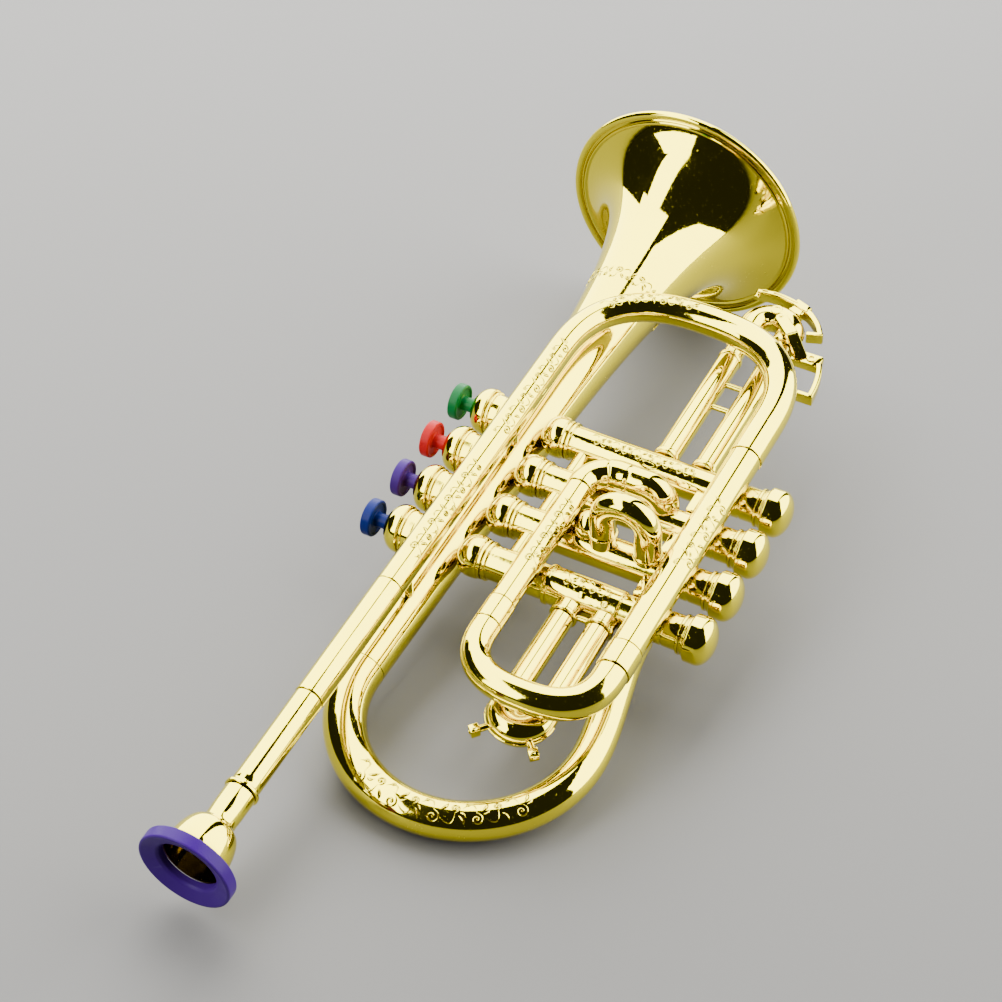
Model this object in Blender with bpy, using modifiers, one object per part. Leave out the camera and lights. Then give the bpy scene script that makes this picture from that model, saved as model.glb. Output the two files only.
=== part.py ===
"""Toy trumpet, laid flat on its bell rim and its rear bow.

The instrument is modelled in its own playing frame: +X runs from the
mouthpiece to the bell, +Y towards the push buttons, +Z away from the table.
The valve axes lie in the plane z = 0, with y = 0 midway along them.
One empty carries every piece and gives the toy its resting tilt.
Lengths are metres.
"""
import bmesh
import bpy
from math import asin, atan2, cos, pi, sin, sqrt, tau
from mathutils import Matrix, Vector

# Fits shared by all pieces
GAP = 0.0003             # clearance between two pieces that touch
WALL = 0.0012            # wall of the moulded tubes
OVERRUN = 0.004          # how far a cutter runs past what it cuts
MERGE = 0.000001         # points closer than this become one

# Valve set
VALVES = 4
COLOURS = ("green", "red", "purple", "blue")
VALVE_PITCH = 0.0211
CASING_RADIUS = 0.0062
CASING_BORE = 0.0049
HEAD_RADIUS = 0.0076
HEAD_TIP_Y = 0.0338      # round end of the casing, beside the bell tube
HEAD_LENGTH = 0.0096
HEAD_CROWN = 0.0060      # rise of the round end
COLLAR_RADIUS = 0.0070   # double ring below the head
COLLAR_WIDTH = 0.0011
COLLAR_SPACE = 0.0006
SLEEVE_RADIUS = 0.0068   # thicker sleeve on the rear casing
SLEEVE_START_Y = -0.0010
SLEEVE_END_Y = -0.0280
CASING_FOOT_Y = -0.0500
HEAD_WALL = 0.0018

# Bottom caps
FOOT_NECK_RADIUS = 0.0065
FOOT_BAND_RADIUS = 0.0071
FOOT_BAND_WIDTH = 0.0009
FOOT_CAP_RADIUS = 0.0085
FOOT_CAP_WIDTH = 0.0043
FOOT_CAP_EDGE = 0.0006
FOOT_CROWN = 0.0050
FOOT_SPIGOT = 0.0045

# Push button caps on the far side of the bell tube
CAP_RISE = 0.0101         # from the neck's top to the cap's tip
CAP_RADIUS = 0.0087
CAP_CROWN = 0.0062
CAP_SIDE = 0.0014
CAP_BODY_RADIUS = 0.0075
CAP_BODY_LENGTH = 0.0036
CAP_BAND_WIDTH = 0.0007
STEM_RADIUS = 0.0026
STEM_CLEARANCE = 0.0003
BUTTON_RADIUS = 0.0067
BUTTON_THICKNESS = 0.0037
BUTTON_DISH = 0.0007
BUTTON_LIP = 0.0010
BUTTON_EDGE = 0.0004
BUTTON_TRAVEL = 0.0034
BUTTON_STAND_OFF = 0.0004   # room left over the cap when a button is down
FLANGE_RADIUS = 0.0039
FLANGE_THICKNESS = 0.0012
SPINDLE_RADIUS = 0.0014
PAD_RADIUS = 0.0024
PAD_THICKNESS = 0.0010
PLATE_THICKNESS = 0.0010
PLATE_HOLE_RADIUS = 0.0019
NECK_RADIUS = 0.0052
NECK_SOCKET = 0.0004      # how far the wide top of the neck stays inside the cap
PORT_RADIUS = 0.0016
SPRING_RADIUS = 0.0031
SPRING_WIRE = 0.00035
SPRING_TURNS = 3
REED_LENGTH = 0.0036
REED_WIDTH = 0.0014
REED_THICKNESS = 0.0004

# Bell and rear bow
BELL_Y = 0.0418
BELL_Z = -0.0090
BELL_RIM_X = 0.1724
BELL_TAIL_X = -0.0850
BELL_RIM_RADIUS = 0.0488
BELL_TUBE_RADIUS = 0.0060
BELL_FLARE = 0.0110
BELL_TAPER = 0.62        # exponent of the horn curve
BELL_SPACING = 2.6       # exponent that crowds the stations towards the rim
BELL_WALL = 0.0014
BEAD_DEPTH = 0.0031
BEAD_EDGE = 0.0007
BEAD_LIP = 0.0046
BELL_STATIONS = 13
BOW_RADIUS = 0.0420
BOW_TUBE_REAR = 0.0066
BOW_TUBE_END = 0.0060
BOW_END_Y = -0.0362
BOW_END_Z = -0.0030

# Mouthpiece and lead pipe
LEAD_Y = 0.0407
LEAD_Z = 0.0140
LEAD_RADIUS = 0.0051
LEAD_START_X = -0.0670
MIDDLE_RADIUS = 0.0052
MIDDLE_START_X = -0.1190
RECEIVER_RADIUS = 0.0050
RECEIVER_MOUTH_RADIUS = 0.0056
RECEIVER_BAND = 0.0030
RECEIVER_START_X = -0.1600
RING_FACE_X = -0.1928
RING_RADIUS = 0.0162
RING_BORE = 0.0113
RING_THICKNESS = 0.0045
RING_EDGE = 0.0010
CUP_RADIUS = 0.0132
CUP_NECK_RADIUS = 0.0058
CUP_LENGTH = 0.0190
SHANK_RADIUS = 0.0050
SHANK_BORE = 0.0026
SHANK_SPIGOT = 0.0090

# Tube loop on the near side
LOOP_Z = 0.0128
UPPER_BEND_X = 0.0560
UPPER_BEND_DEPTH = 0.0410
UPPER_BEND_RUN = 0.0165   # straight run of the bend on its return side
BEND_SQUARENESS = 2.5    # exponent of the rounded bend outlines
RETURN_RADIUS = 0.0061
RETURN_Y = -0.0409
LOWER_BEND_X = -0.0660
LOWER_BEND_DEPTH = 0.0210
LOWER_BEND_RADIUS = 0.0055
SHORT_RADIUS = 0.0050
SHORT_Y = 0.0045
SHORT_END_BACK = 0.00895  # from the second casing's axis back to the tube's end
SMALL_TURN = 0.0104
SMALL_END_RADIUS = 0.0052
SMALL_RUN_END_Y = -0.0150
SMALL_DROP = 0.0075
BEND_STUB = 0.0014        # straight run where a bend meets a straight tube
FERRULE_LENGTH = 0.0098
FERRULE_RISE = 0.0003

# Second slide, a hoop on the third casing
HOOP_RADIUS = 0.0047
HOOP_HALF = 0.0084
HOOP_Y = -0.0189
HOOP_TOP_Z = 0.0262

# Slides at the ends of the valve set
SLIDE_LEFT_Y = -0.0112
FRONT_RIGHT_Y = -0.0258
REAR_RIGHT_Y = -0.0245
SLIDE_RADIUS = 0.0044
SLIDE_INNER_RADIUS = 0.0038
SLIDE_BOW_RADIUS = 0.0051
FRONT_SLEEVE_REACH = 0.06335  # from the front casing's axis to the sleeves' ends
FRONT_BOW_REACH = 0.0195  # from the sleeves' ends to the centre of the bow
FRONT_BRACE_BACK = (0.0255, 0.0133)   # how far each brace lies behind the sleeves' ends
REAR_BOSS_RADIUS = 0.0048
REAR_BOSS_REACH = 0.01135     # from the rear casing's axis to the bosses' ends
REAR_BOW_REACH = 0.0425
BRACE_RADIUS = 0.0011
LINK_RADIUS = 0.0027
LINK_Y = (0.0155, -0.0303)
PEG_SIZE = 0.0034
PEG_STALK_RADIUS = 0.0012
PEG_STALK = 0.0030
PEG_ANGLES = (0.72, -0.72)

# Hooks round the front slide bow
HOOK_THICKNESS = 0.0022
HOOK_HEIGHT = 0.0050
HOOK_CLEAR = 0.0066
HOOK_START_ANGLE = 0.62
HOOK_END_ANGLE = -1.15
HOOK_POST_ANGLE = -0.30
HOOK_POST_WIDTH = 0.0060
SIDE_HOOK_REACH = 0.0142
SIDE_HOOK_BACK = 0.0265   # from the centre of the front bow back to the hook's tail
SIDE_HOOK_LENGTH = 0.0260
SIDE_HOOK_ANGLE = 0.88    # where the curved strip starts, measured from its tail's centre
SIDE_BLOCK_X = 0.0060
SIDE_BLOCK_Y = 0.0113
SIDE_BLOCK_OVERLAP = 0.0016   # how deep the strip's start is sunk in the block
ARM_WIDTH = 0.0036
ARM_THICKNESS = 0.0022
ARM_LIFT = 0.0004         # clearance over the front bow
ARM_START = (0.0020, -0.0030)  # its round end, from the centre of the front bow
ARM_KNEE = (-0.0045, -0.0100)
ARM_END = (-0.0100, -0.0165)
ARM_END_Z = 0.0016
HOOK_BAR_WIDTH = 0.0062
HOOK_BAR_THICKNESS = 0.0016
HOOK_BAR_HEIGHT = 0.0046
HOOK_POST_HEIGHT = 0.0040
REAR_WEB_THICKNESS = 0.0030
REAR_HUB_HEIGHT = 0.0052
REAR_HUB_RADIUS = 0.0024

# Props between the lead pipe and the bell tube
PROP_RADIUS = 0.0024
PROP_X = (0.0211, -0.0560)

# Facets
TURN_STEPS = 16
BELL_STEPS = 28
TUBE_RESOLUTION = 4
SMALL_TUBE_RESOLUTION = 3


def valve_x(i):
    return ((VALVES - 1) / 2 - i) * VALVE_PITCH


def collection(name):
    made = bpy.data.collections.new(name)
    bpy.context.scene.collection.children.link(made)
    return made


def finish_material(name, colour, roughness, metallic):
    mat = bpy.data.materials.new(name)
    mat.use_nodes = True
    shader = mat.node_tree.nodes["Principled BSDF"]
    shader.inputs["Base Color"].default_value = (*colour, 1.0)
    shader.inputs["Roughness"].default_value = roughness
    shader.inputs["Metallic"].default_value = metallic
    mat.diffuse_color = (*colour, 1.0)
    return mat


def place(name, mesh, mat, location=(0, 0, 0), axis="Z"):
    """Make an object of the mesh, with its local Z along the named axis."""
    turn = {"Z": (0, 0, 0), "X": (0, pi / 2, 0), "Y": (-pi / 2, 0, 0)}[axis]
    obj = bpy.data.objects.new(name, mesh)
    obj.location = location
    obj.rotation_euler = turn
    obj.data.materials.append(mat)
    PARTS.objects.link(obj)
    obj.parent = REST
    return obj


def smooth(obj):
    obj.data.shade_smooth()
    obj.data.set_sharp_from_angle(angle=pi / 5)


def turned(name, profile, mat, location, axis, steps=TURN_STEPS, closed=False):
    """Spin a profile of (radius, height) pairs, outer side from the top down."""
    mesh = bpy.data.meshes.new(name)
    bm = bmesh.new()
    verts = [bm.verts.new((r, 0, h)) for r, h in profile]
    for a, b in zip(verts, verts[1:]):
        bm.edges.new((a, b))
    if closed:
        bm.edges.new((verts[-1], verts[0]))
    bm.to_mesh(mesh)
    bm.free()
    obj = place(name, mesh, mat, location, axis)
    screw = obj.modifiers.new("turn", "SCREW")
    screw.axis = "Z"
    screw.angle = tau
    screw.steps = steps
    screw.render_steps = steps
    screw.use_merge_vertices = True
    screw.merge_threshold = MERGE
    screw.use_smooth_shade = True
    return obj


def crown(radius, rise, base, count, start=0.0):
    """Round end: points from the height of the crown down to its widest ring."""
    points = []
    for k in range(count + 1):
        a = start + (pi / 2 - start) * k / count
        points.append((radius * sin(a), base + rise * cos(a)))
    return points


def swept(name, points, radii, mat, wall=None, resolution=TUBE_RESOLUTION):
    """Tube along the points, hollow with open ends when a wall is given."""
    widest = max(radii)
    curve = bpy.data.curves.new(name, "CURVE")
    curve.dimensions = "3D"
    curve.bevel_depth = widest
    curve.bevel_resolution = resolution
    curve.use_fill_caps = wall is None
    spline = curve.splines.new("POLY")
    spline.points.add(len(points) - 1)
    for point, position, radius in zip(spline.points, points, radii):
        point.co = (*position, 1)
        point.radius = radius / widest
    guide = bpy.data.objects.new(name + "_route", curve)
    PARTS.objects.link(guide)
    bpy.context.view_layer.update()
    graph = bpy.context.evaluated_depsgraph_get()
    mesh = bpy.data.meshes.new_from_object(guide.evaluated_get(graph))
    mesh.name = name
    bpy.data.objects.remove(guide)
    bpy.data.curves.remove(curve)
    bm = bmesh.new()
    bm.from_mesh(mesh)
    bmesh.ops.remove_doubles(bm, verts=bm.verts, dist=MERGE)
    bm.to_mesh(mesh)
    bm.free()
    mesh.materials.clear()
    obj = place(name, mesh, mat)
    smooth(obj)
    if wall is not None:
        shell = obj.modifiers.new("wall", "SOLIDIFY")
        shell.thickness = wall
        shell.offset = -1
        shell.use_rim = True
    return obj


def welded(name, pieces):
    """Union pieces into one body that replaces them."""
    base = pieces[0]
    for extra in pieces[1:]:
        boolean(base, extra, "UNION")
    bpy.context.view_layer.update()
    graph = bpy.context.evaluated_depsgraph_get()
    mesh = bpy.data.meshes.new_from_object(base.evaluated_get(graph))
    mesh.transform(base.matrix_basis)
    mat = base.data.materials[0]
    for piece in pieces:
        bpy.data.objects.remove(piece)
    mesh.name = name
    mesh.materials.clear()
    obj = place(name, mesh, mat)
    smooth(obj)
    return obj


def rod(start, end, radius, steps=TURN_STEPS, end_radius=None):
    """Plain cylinder or cone between two points, as a mesh in the playing frame."""
    start = Vector(start)
    end = Vector(end)
    span = end - start
    mesh = bpy.data.meshes.new("rod")
    bm = bmesh.new()
    bmesh.ops.create_cone(bm, cap_ends=True, segments=steps, radius1=radius,
                          radius2=radius if end_radius is None else end_radius, depth=span.length)
    turn = Vector((0, 0, 1)).rotation_difference(span).to_matrix().to_4x4()
    turn.translation = (start + end) / 2
    bmesh.ops.transform(bm, matrix=turn, verts=bm.verts)
    bm.to_mesh(mesh)
    bm.free()
    return mesh


def block(centre, size, mat, name, angle=0.0):
    """Box with its own centre, turned about Z."""
    mesh = bpy.data.meshes.new(name)
    bm = bmesh.new()
    bmesh.ops.create_cube(bm, size=1)
    bmesh.ops.scale(bm, vec=size, verts=bm.verts)
    bm.to_mesh(mesh)
    bm.free()
    obj = place(name, mesh, mat, centre)
    obj.rotation_euler = (0, 0, angle)
    return obj


def flat_bar(start, end, width, thickness, name):
    """Flat bar between two points, level across its width and a little longer than their span."""
    along = (end - start).normalized()
    across = Vector((0, 0, 1)).cross(along).normalized()
    turn = Matrix((along, across, along.cross(across))).transposed().to_4x4()
    turn.translation = (start + end) / 2
    mesh = bpy.data.meshes.new(name)
    bm = bmesh.new()
    bmesh.ops.create_cube(bm, size=1)
    bmesh.ops.scale(bm, vec=((end - start).length + thickness / 2, width, thickness), verts=bm.verts)
    bmesh.ops.transform(bm, matrix=turn, verts=bm.verts)
    bm.to_mesh(mesh)
    bm.free()
    return place(name, mesh, GOLD)


def guide(name, mesh, location=(0, 0, 0)):
    obj = bpy.data.objects.new(name, mesh)
    obj.location = location
    obj.hide_render = True
    obj.display_type = "WIRE"
    CUTTERS.objects.link(obj)
    obj.parent = REST
    return obj


def boolean(obj, other, operation="DIFFERENCE"):
    cut = obj.modifiers.new("cut", "BOOLEAN")
    cut.operation = operation
    cut.solver = "EXACT"
    cut.object = other


def arc(centre, radius, start, end, count, plane):
    """Points of an arc. The plane gives the two directions of its angle."""
    first, second = (Vector(d) for d in plane)
    points = []
    for k in range(count + 1):
        a = start + (end - start) * k / count
        points.append(Vector(centre) + first * (radius * cos(a)) + second * (radius * sin(a)))
    return points


def rounded_bend(start, end, depth, count, direction):
    """Squarish half loop from start to end, reaching the depth along X."""
    start = Vector(start)
    end = Vector(end)
    points = []
    for k in range(count + 1):
        a = pi * k / count
        across = abs(cos(a)) ** (2 / BEND_SQUARENESS) * (1 if cos(a) > 0 else -1)
        along = sin(a) ** (2 / BEND_SQUARENESS) if 0 < k < count else 0.0
        middle = (start + end) / 2 + (start - end) / 2 * across
        points.append(middle + Vector((direction * depth * along, 0, 0)))
    return points


def stubbed(points, direction, both=True):
    """Shift a bend along X and give it straight ends that meet their tubes squarely."""
    step = Vector((direction * BEND_STUB, 0, 0))
    moved = [points[0]] + [p + step for p in points]
    return moved + [points[-1]] if both else moved


def blend(a, b, count):
    """Radii that pass evenly from a to b."""
    return [a + (b - a) * k / (count - 1) for k in range(count)]


def bell_radius(x):
    """Outer radius of the bell at a place along the instrument."""
    back = BELL_RIM_X - x
    horn = BELL_RIM_RADIUS * (BELL_FLARE / (back + BELL_FLARE)) ** BELL_TAPER
    return (horn ** 4 + BELL_TUBE_RADIUS ** 4) ** 0.25


# Scene
for old in list(bpy.data.objects):
    bpy.data.objects.remove(old)

PARTS = collection("toy_trumpet")
CUTTERS = collection("toy_trumpet_cutters")
REST = bpy.data.objects.new("resting_tilt", None)
PARTS.objects.link(REST)

GOLD = finish_material("gold_plating", (0.90, 0.68, 0.28), 0.10, 1.0)
BRASS = finish_material("reed_brass", (0.78, 0.56, 0.24), 0.35, 1.0)
STEEL = finish_material("spring_steel", (0.60, 0.60, 0.62), 0.30, 1.0)
RUBBER = finish_material("pad_rubber", (0.75, 0.72, 0.66), 0.80, 0.0)
PLATE = finish_material("white_plastic", (0.82, 0.82, 0.78), 0.45, 0.0)
PURPLE = finish_material("purple_plastic", (0.12, 0.05, 0.36), 0.30, 0.0)
BUTTON_PLASTICS = {
    "green": finish_material("green_plastic", (0.00, 0.23, 0.06), 0.30, 0.0),
    "red": finish_material("red_plastic", (0.70, 0.02, 0.03), 0.30, 0.0),
    "purple": PURPLE,
    "blue": finish_material("blue_plastic", (0.01, 0.06, 0.45), 0.30, 0.0),
}

# Places worked out from the sizes above
BOW_CENTRE_Y = BELL_Y - BOW_RADIUS
BELL_TOP_Y = BELL_Y + bell_radius(valve_x(0) + CAP_RADIUS) + GAP
CAP_TIP_Y = BELL_TOP_Y + CAP_RISE
CAP_WIDEST_Y = CAP_TIP_Y - CAP_CROWN
CAP_STEP_Y = CAP_WIDEST_Y - CAP_SIDE
CAP_END_Y = CAP_STEP_Y - 3 * CAP_BAND_WIDTH - CAP_BODY_LENGTH
CAP_BORE = CAP_BODY_RADIUS - WALL
PLATE_LOW_Y = BELL_TOP_Y + GAP
PLATE_TOP_Y = PLATE_LOW_Y + PLATE_THICKNESS
PLATE_RADIUS = CAP_BORE - GAP
BUTTON_BACK_Y = CAP_TIP_Y + BUTTON_TRAVEL + BUTTON_STAND_OFF
FLANGE_SHARE = FLANGE_RADIUS / (CAP_RADIUS - WALL)
FLANGE_TOP_Y = CAP_WIDEST_Y + (CAP_CROWN - WALL) * sqrt(1 - FLANGE_SHARE ** 2) - BUTTON_STAND_OFF
FLANGE_LOW_Y = FLANGE_TOP_Y - FLANGE_THICKNESS
PAD_LOW_Y = PLATE_TOP_Y + BUTTON_TRAVEL + BUTTON_STAND_OFF
PAD_TOP_Y = PAD_LOW_Y + PAD_THICKNESS
FOOT_LOW_Y = CASING_FOOT_Y - GAP - 3 * FOOT_BAND_WIDTH - FOOT_CAP_WIDTH - FOOT_CROWN
SHORT_END_X = valve_x(1) - SHORT_END_BACK
FRONT_SLEEVE_X = valve_x(0) + FRONT_SLEEVE_REACH
FRONT_BOW_X = FRONT_SLEEVE_X + FRONT_BOW_REACH
REAR_BOSS_X = valve_x(VALVES - 1) - REAR_BOSS_REACH
REAR_BOW_X = REAR_BOSS_X - REAR_BOW_REACH


def casing_cutter(i, radius, name):
    x = valve_x(i)
    low = FOOT_LOW_Y - OVERRUN
    return guide(name, rod((x, low, 0), (x, HEAD_TIP_Y + OVERRUN, 0), radius))


def bell_seat(x, reach, name):
    """Cone that clears the bell tube on both sides of a place along it."""
    start = bell_radius(x - reach) + GAP
    end = bell_radius(x + reach) + GAP
    mesh = rod((x - reach, BELL_Y, BELL_Z), (x + reach, BELL_Y, BELL_Z), start, 32, end)
    return guide(name, mesh)


def make_casing(i):
    """Valve casing: round head, double ring, tube, and a bore open at the foot."""
    neck_y = HEAD_TIP_Y - HEAD_LENGTH
    outer = crown(HEAD_RADIUS, HEAD_CROWN, HEAD_TIP_Y - HEAD_CROWN, 4)
    y = neck_y
    outer.append((COLLAR_RADIUS, y))
    for _ in range(2):
        outer.append((COLLAR_RADIUS, y))
        outer.append((COLLAR_RADIUS, y - COLLAR_WIDTH))
        outer.append((CASING_RADIUS, y - COLLAR_WIDTH))
        y -= COLLAR_WIDTH + COLLAR_SPACE
        outer.append((CASING_RADIUS, y))
    outer = [p for k, p in enumerate(outer) if k == 0 or p != outer[k - 1]]
    if i == VALVES - 1:
        rise = SLEEVE_RADIUS - CASING_RADIUS
        outer += [(CASING_RADIUS, SLEEVE_START_Y + rise), (SLEEVE_RADIUS, SLEEVE_START_Y),
                  (SLEEVE_RADIUS, SLEEVE_END_Y), (CASING_RADIUS, SLEEVE_END_Y - rise)]
    inner = [(CASING_RADIUS, CASING_FOOT_Y), (CASING_BORE, CASING_FOOT_Y),
             (CASING_BORE, HEAD_TIP_Y - HEAD_CROWN), (0, HEAD_TIP_Y - HEAD_WALL - HEAD_CROWN / 4)]
    casing = turned(f"casing_body_{i + 1}", outer + inner, GOLD, (valve_x(i), 0, 0), "Y")
    pieces = [casing]
    if i < VALVES - 1:
        start = valve_x(i) - (CASING_RADIUS + CASING_BORE) / 2
        gap = SLEEVE_RADIUS if i == VALVES - 2 else CASING_RADIUS
        end = valve_x(i + 1) + gap + GAP
        for k, y in enumerate(LINK_Y):
            pieces.append(place(f"link_{i}_{k}", rod((start, y, 0), (end, y, 0), LINK_RADIUS, 10), GOLD))
    return welded(f"valve_casing_{i + 1}", pieces)


def make_foot(i):
    """Bottom cap: two bands, a wide cap, a low crown, and a spigot in the bore."""
    y = CASING_FOOT_Y - GAP
    spigot = CASING_BORE - GAP
    profile = [(0, y + FOOT_SPIGOT), (spigot, y + FOOT_SPIGOT), (spigot, y), (FOOT_BAND_RADIUS, y)]
    profile += [(FOOT_BAND_RADIUS, y - FOOT_BAND_WIDTH), (FOOT_NECK_RADIUS, y - FOOT_BAND_WIDTH)]
    profile += [(FOOT_NECK_RADIUS, y - 2 * FOOT_BAND_WIDTH), (FOOT_BAND_RADIUS, y - 2 * FOOT_BAND_WIDTH)]
    profile += [(FOOT_BAND_RADIUS, y - 3 * FOOT_BAND_WIDTH)]
    top = y - 3 * FOOT_BAND_WIDTH
    low = top - FOOT_CAP_WIDTH
    profile += [(FOOT_CAP_RADIUS - FOOT_CAP_EDGE, top), (FOOT_CAP_RADIUS, top - FOOT_CAP_EDGE)]
    for r, h in reversed(crown(FOOT_CAP_RADIUS, FOOT_CROWN, 0, 4)):
        profile.append((r, low - h))
    return turned(f"bottom_cap_{i + 1}", profile, GOLD, (valve_x(i), 0, 0), "Y")


def make_cap(i, seat):
    """Push button cap: domed shell with three bands, open towards the neck."""
    hole = STEM_RADIUS + STEM_CLEARANCE
    start = asin(hole / CAP_RADIUS)
    outer = crown(CAP_RADIUS, CAP_CROWN, CAP_WIDEST_Y, 5, start)
    band = CAP_BODY_RADIUS + (CAP_RADIUS - CAP_BODY_RADIUS) / 2
    outer.append((CAP_RADIUS, CAP_STEP_Y))
    outer += [(CAP_BODY_RADIUS, CAP_STEP_Y), (CAP_BODY_RADIUS, CAP_STEP_Y - CAP_BAND_WIDTH)]
    outer += [(band, CAP_STEP_Y - CAP_BAND_WIDTH), (band, CAP_STEP_Y - 2 * CAP_BAND_WIDTH)]
    outer += [(CAP_BODY_RADIUS, CAP_STEP_Y - 2 * CAP_BAND_WIDTH), (CAP_BODY_RADIUS, CAP_END_Y)]
    inner = [(CAP_BORE, CAP_END_Y), (CAP_BORE, CAP_STEP_Y)]
    inside = crown(CAP_RADIUS - WALL, CAP_CROWN - WALL, CAP_WIDEST_Y, 4, asin(hole / (CAP_RADIUS - WALL)))
    inner += list(reversed(inside))
    cap = turned(f"button_cap_{i + 1}", outer + inner, GOLD, (valve_x(i), 0, 0), "Y", closed=True)
    boolean(cap, seat)


def make_neck(i, seat):
    """Neck that plugs a cap and stands on the bell tube, with a port down into the tube's bore."""
    x = valve_x(i)
    step = CAP_END_Y + NECK_SOCKET
    profile = [(0, BELL_TOP_Y), (PLATE_RADIUS, BELL_TOP_Y), (PLATE_RADIUS, step),
               (NECK_RADIUS, step), (NECK_RADIUS, BELL_Y), (0, BELL_Y)]
    neck = turned(f"cap_neck_{i + 1}", profile, GOLD, (x, 0, 0), "Y")
    boolean(neck, seat)
    mouth = Vector((x, BELL_TOP_Y, 0))
    bore = Vector((x, BELL_Y, BELL_Z))
    past = (mouth - bore).normalized() * OVERRUN
    port = guide(f"port_cutter_{i + 1}", rod(mouth + past, bore, PORT_RADIUS, 10))
    boolean(neck, port)
    return port


def make_button(i):
    """Button, stem and flange in one moulding. Its origin is on the cap's tip."""
    face = BUTTON_BACK_Y + BUTTON_THICKNESS
    profile = [(0, face), (BUTTON_RADIUS - BUTTON_EDGE, face), (BUTTON_RADIUS, face - BUTTON_EDGE),
               (BUTTON_RADIUS, BUTTON_BACK_Y + BUTTON_EDGE), (BUTTON_RADIUS - BUTTON_EDGE, BUTTON_BACK_Y),
               (BUTTON_RADIUS - BUTTON_LIP, BUTTON_BACK_Y),
               (BUTTON_RADIUS - BUTTON_LIP, BUTTON_BACK_Y + BUTTON_DISH),
               (STEM_RADIUS, BUTTON_BACK_Y + BUTTON_DISH), (STEM_RADIUS, FLANGE_TOP_Y),
               (FLANGE_RADIUS, FLANGE_TOP_Y), (FLANGE_RADIUS, FLANGE_LOW_Y),
               (SPINDLE_RADIUS, FLANGE_LOW_Y), (SPINDLE_RADIUS, PAD_TOP_Y + GAP), (0, PAD_TOP_Y + GAP)]
    profile = [(r, h - CAP_TIP_Y) for r, h in profile]
    colour = COLOURS[i]
    return turned(f"button_{colour}", profile, BUTTON_PLASTICS[colour], (valve_x(i), CAP_TIP_Y, 0), "Y")


def make_pad(i):
    profile = [(0, PAD_TOP_Y), (PAD_RADIUS, PAD_TOP_Y), (PAD_RADIUS, PAD_LOW_Y), (0, PAD_LOW_Y)]
    profile = [(r, h - CAP_TIP_Y) for r, h in profile]
    return turned(f"valve_pad_{i + 1}", profile, RUBBER, (valve_x(i), CAP_TIP_Y, 0), "Y", 12)


def make_plate(i):
    profile = [(PLATE_HOLE_RADIUS, PLATE_TOP_Y), (PLATE_RADIUS, PLATE_TOP_Y),
               (PLATE_RADIUS, PLATE_LOW_Y), (PLATE_HOLE_RADIUS, PLATE_LOW_Y)]
    return turned(f"reed_plate_{i + 1}", profile, PLATE, (valve_x(i), 0, 0), "Y", 12, closed=True)


def make_spring(i):
    """Return spring between the reed plate and the button's flange."""
    low = PLATE_TOP_Y + GAP + SPRING_WIRE
    high = FLANGE_LOW_Y - GAP - SPRING_WIRE
    count = SPRING_TURNS * 8
    points = []
    for k in range(count + 1):
        a = tau * SPRING_TURNS * k / count
        y = low + (high - low) * k / count
        points.append((valve_x(i) + SPRING_RADIUS * cos(a), y, SPRING_RADIUS * sin(a)))
    return swept(f"return_spring_{i + 1}", points, [SPRING_WIRE] * len(points), STEEL, resolution=1)


def make_reed(i):
    """Sounding reed, beside the spring on its plate."""
    z = SPRING_RADIUS + SPRING_WIRE + GAP + REED_WIDTH / 2
    y = PLATE_TOP_Y + GAP + REED_THICKNESS / 2
    return block((valve_x(i), y, z), (REED_LENGTH, REED_THICKNESS, REED_WIDTH), BRASS, f"reed_{i + 1}")


def make_bell(ports):
    """Bell and its long tube, turned about X, with a beaded rim."""
    length = BELL_RIM_X - BELL_TAIL_X
    stations = []
    for k in range(BELL_STATIONS + 1):
        share = (k / BELL_STATIONS) ** BELL_SPACING
        stations.append(BEAD_DEPTH + (length - BEAD_DEPTH) * share)
    outer = [(bell_radius(BELL_RIM_X - u), u) for u in stations]
    inner = []
    for k, (r, u) in enumerate(outer):
        before = outer[max(k - 1, 0)]
        after = outer[min(k + 1, len(outer) - 1)]
        slope = atan2(before[0] - after[0], after[1] - before[1])
        inner.append((r - BELL_WALL * cos(slope), max(u - BELL_WALL * sin(slope), 0)))
    inner[-1] = (inner[-1][0], length)
    bead = [(BELL_RIM_RADIUS - BEAD_LIP, 0), (BELL_RIM_RADIUS - BEAD_EDGE, 0), (BELL_RIM_RADIUS, BEAD_EDGE),
            (BELL_RIM_RADIUS, BEAD_DEPTH - BEAD_EDGE), (BELL_RIM_RADIUS - BEAD_EDGE, BEAD_DEPTH)]
    profile = [(r, -u) for r, u in bead + outer + inner[::-1]]
    bell = turned("bell", profile, GOLD, (BELL_RIM_X, BELL_Y, BELL_Z), "X", BELL_STEPS, closed=True)
    for port in ports:
        boolean(bell, port)
    return bell


def make_bow(cutter):
    """Rear bow: half circle behind the bell tube, then a leg up to the rear casing."""
    x = BELL_TAIL_X - GAP
    centre = (x, BOW_CENTRE_Y, BELL_Z)
    points = stubbed(arc(centre, BOW_RADIUS, pi / 2, 3 * pi / 2, 14, ((1, 0, 0), (0, 1, 0))), -1)
    leg = valve_x(VALVES - 1) - x
    for k in range(1, 5):
        t = k / 4
        ease = t * t * (3 - 2 * t)
        y = BOW_CENTRE_Y - BOW_RADIUS + (BOW_END_Y - BOW_CENTRE_Y + BOW_RADIUS) * ease
        z = BELL_Z + (BOW_END_Z - BELL_Z) * ease
        points.append(Vector((x + leg * t, y, z)))
    start = bell_radius(BELL_TAIL_X)
    radii = blend(start, BOW_TUBE_REAR, 8) + blend(BOW_TUBE_REAR, BOW_TUBE_END, len(points) - 8)
    bow = swept("rear_bow", points, radii, GOLD, WALL)
    boolean(bow, cutter)


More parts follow.
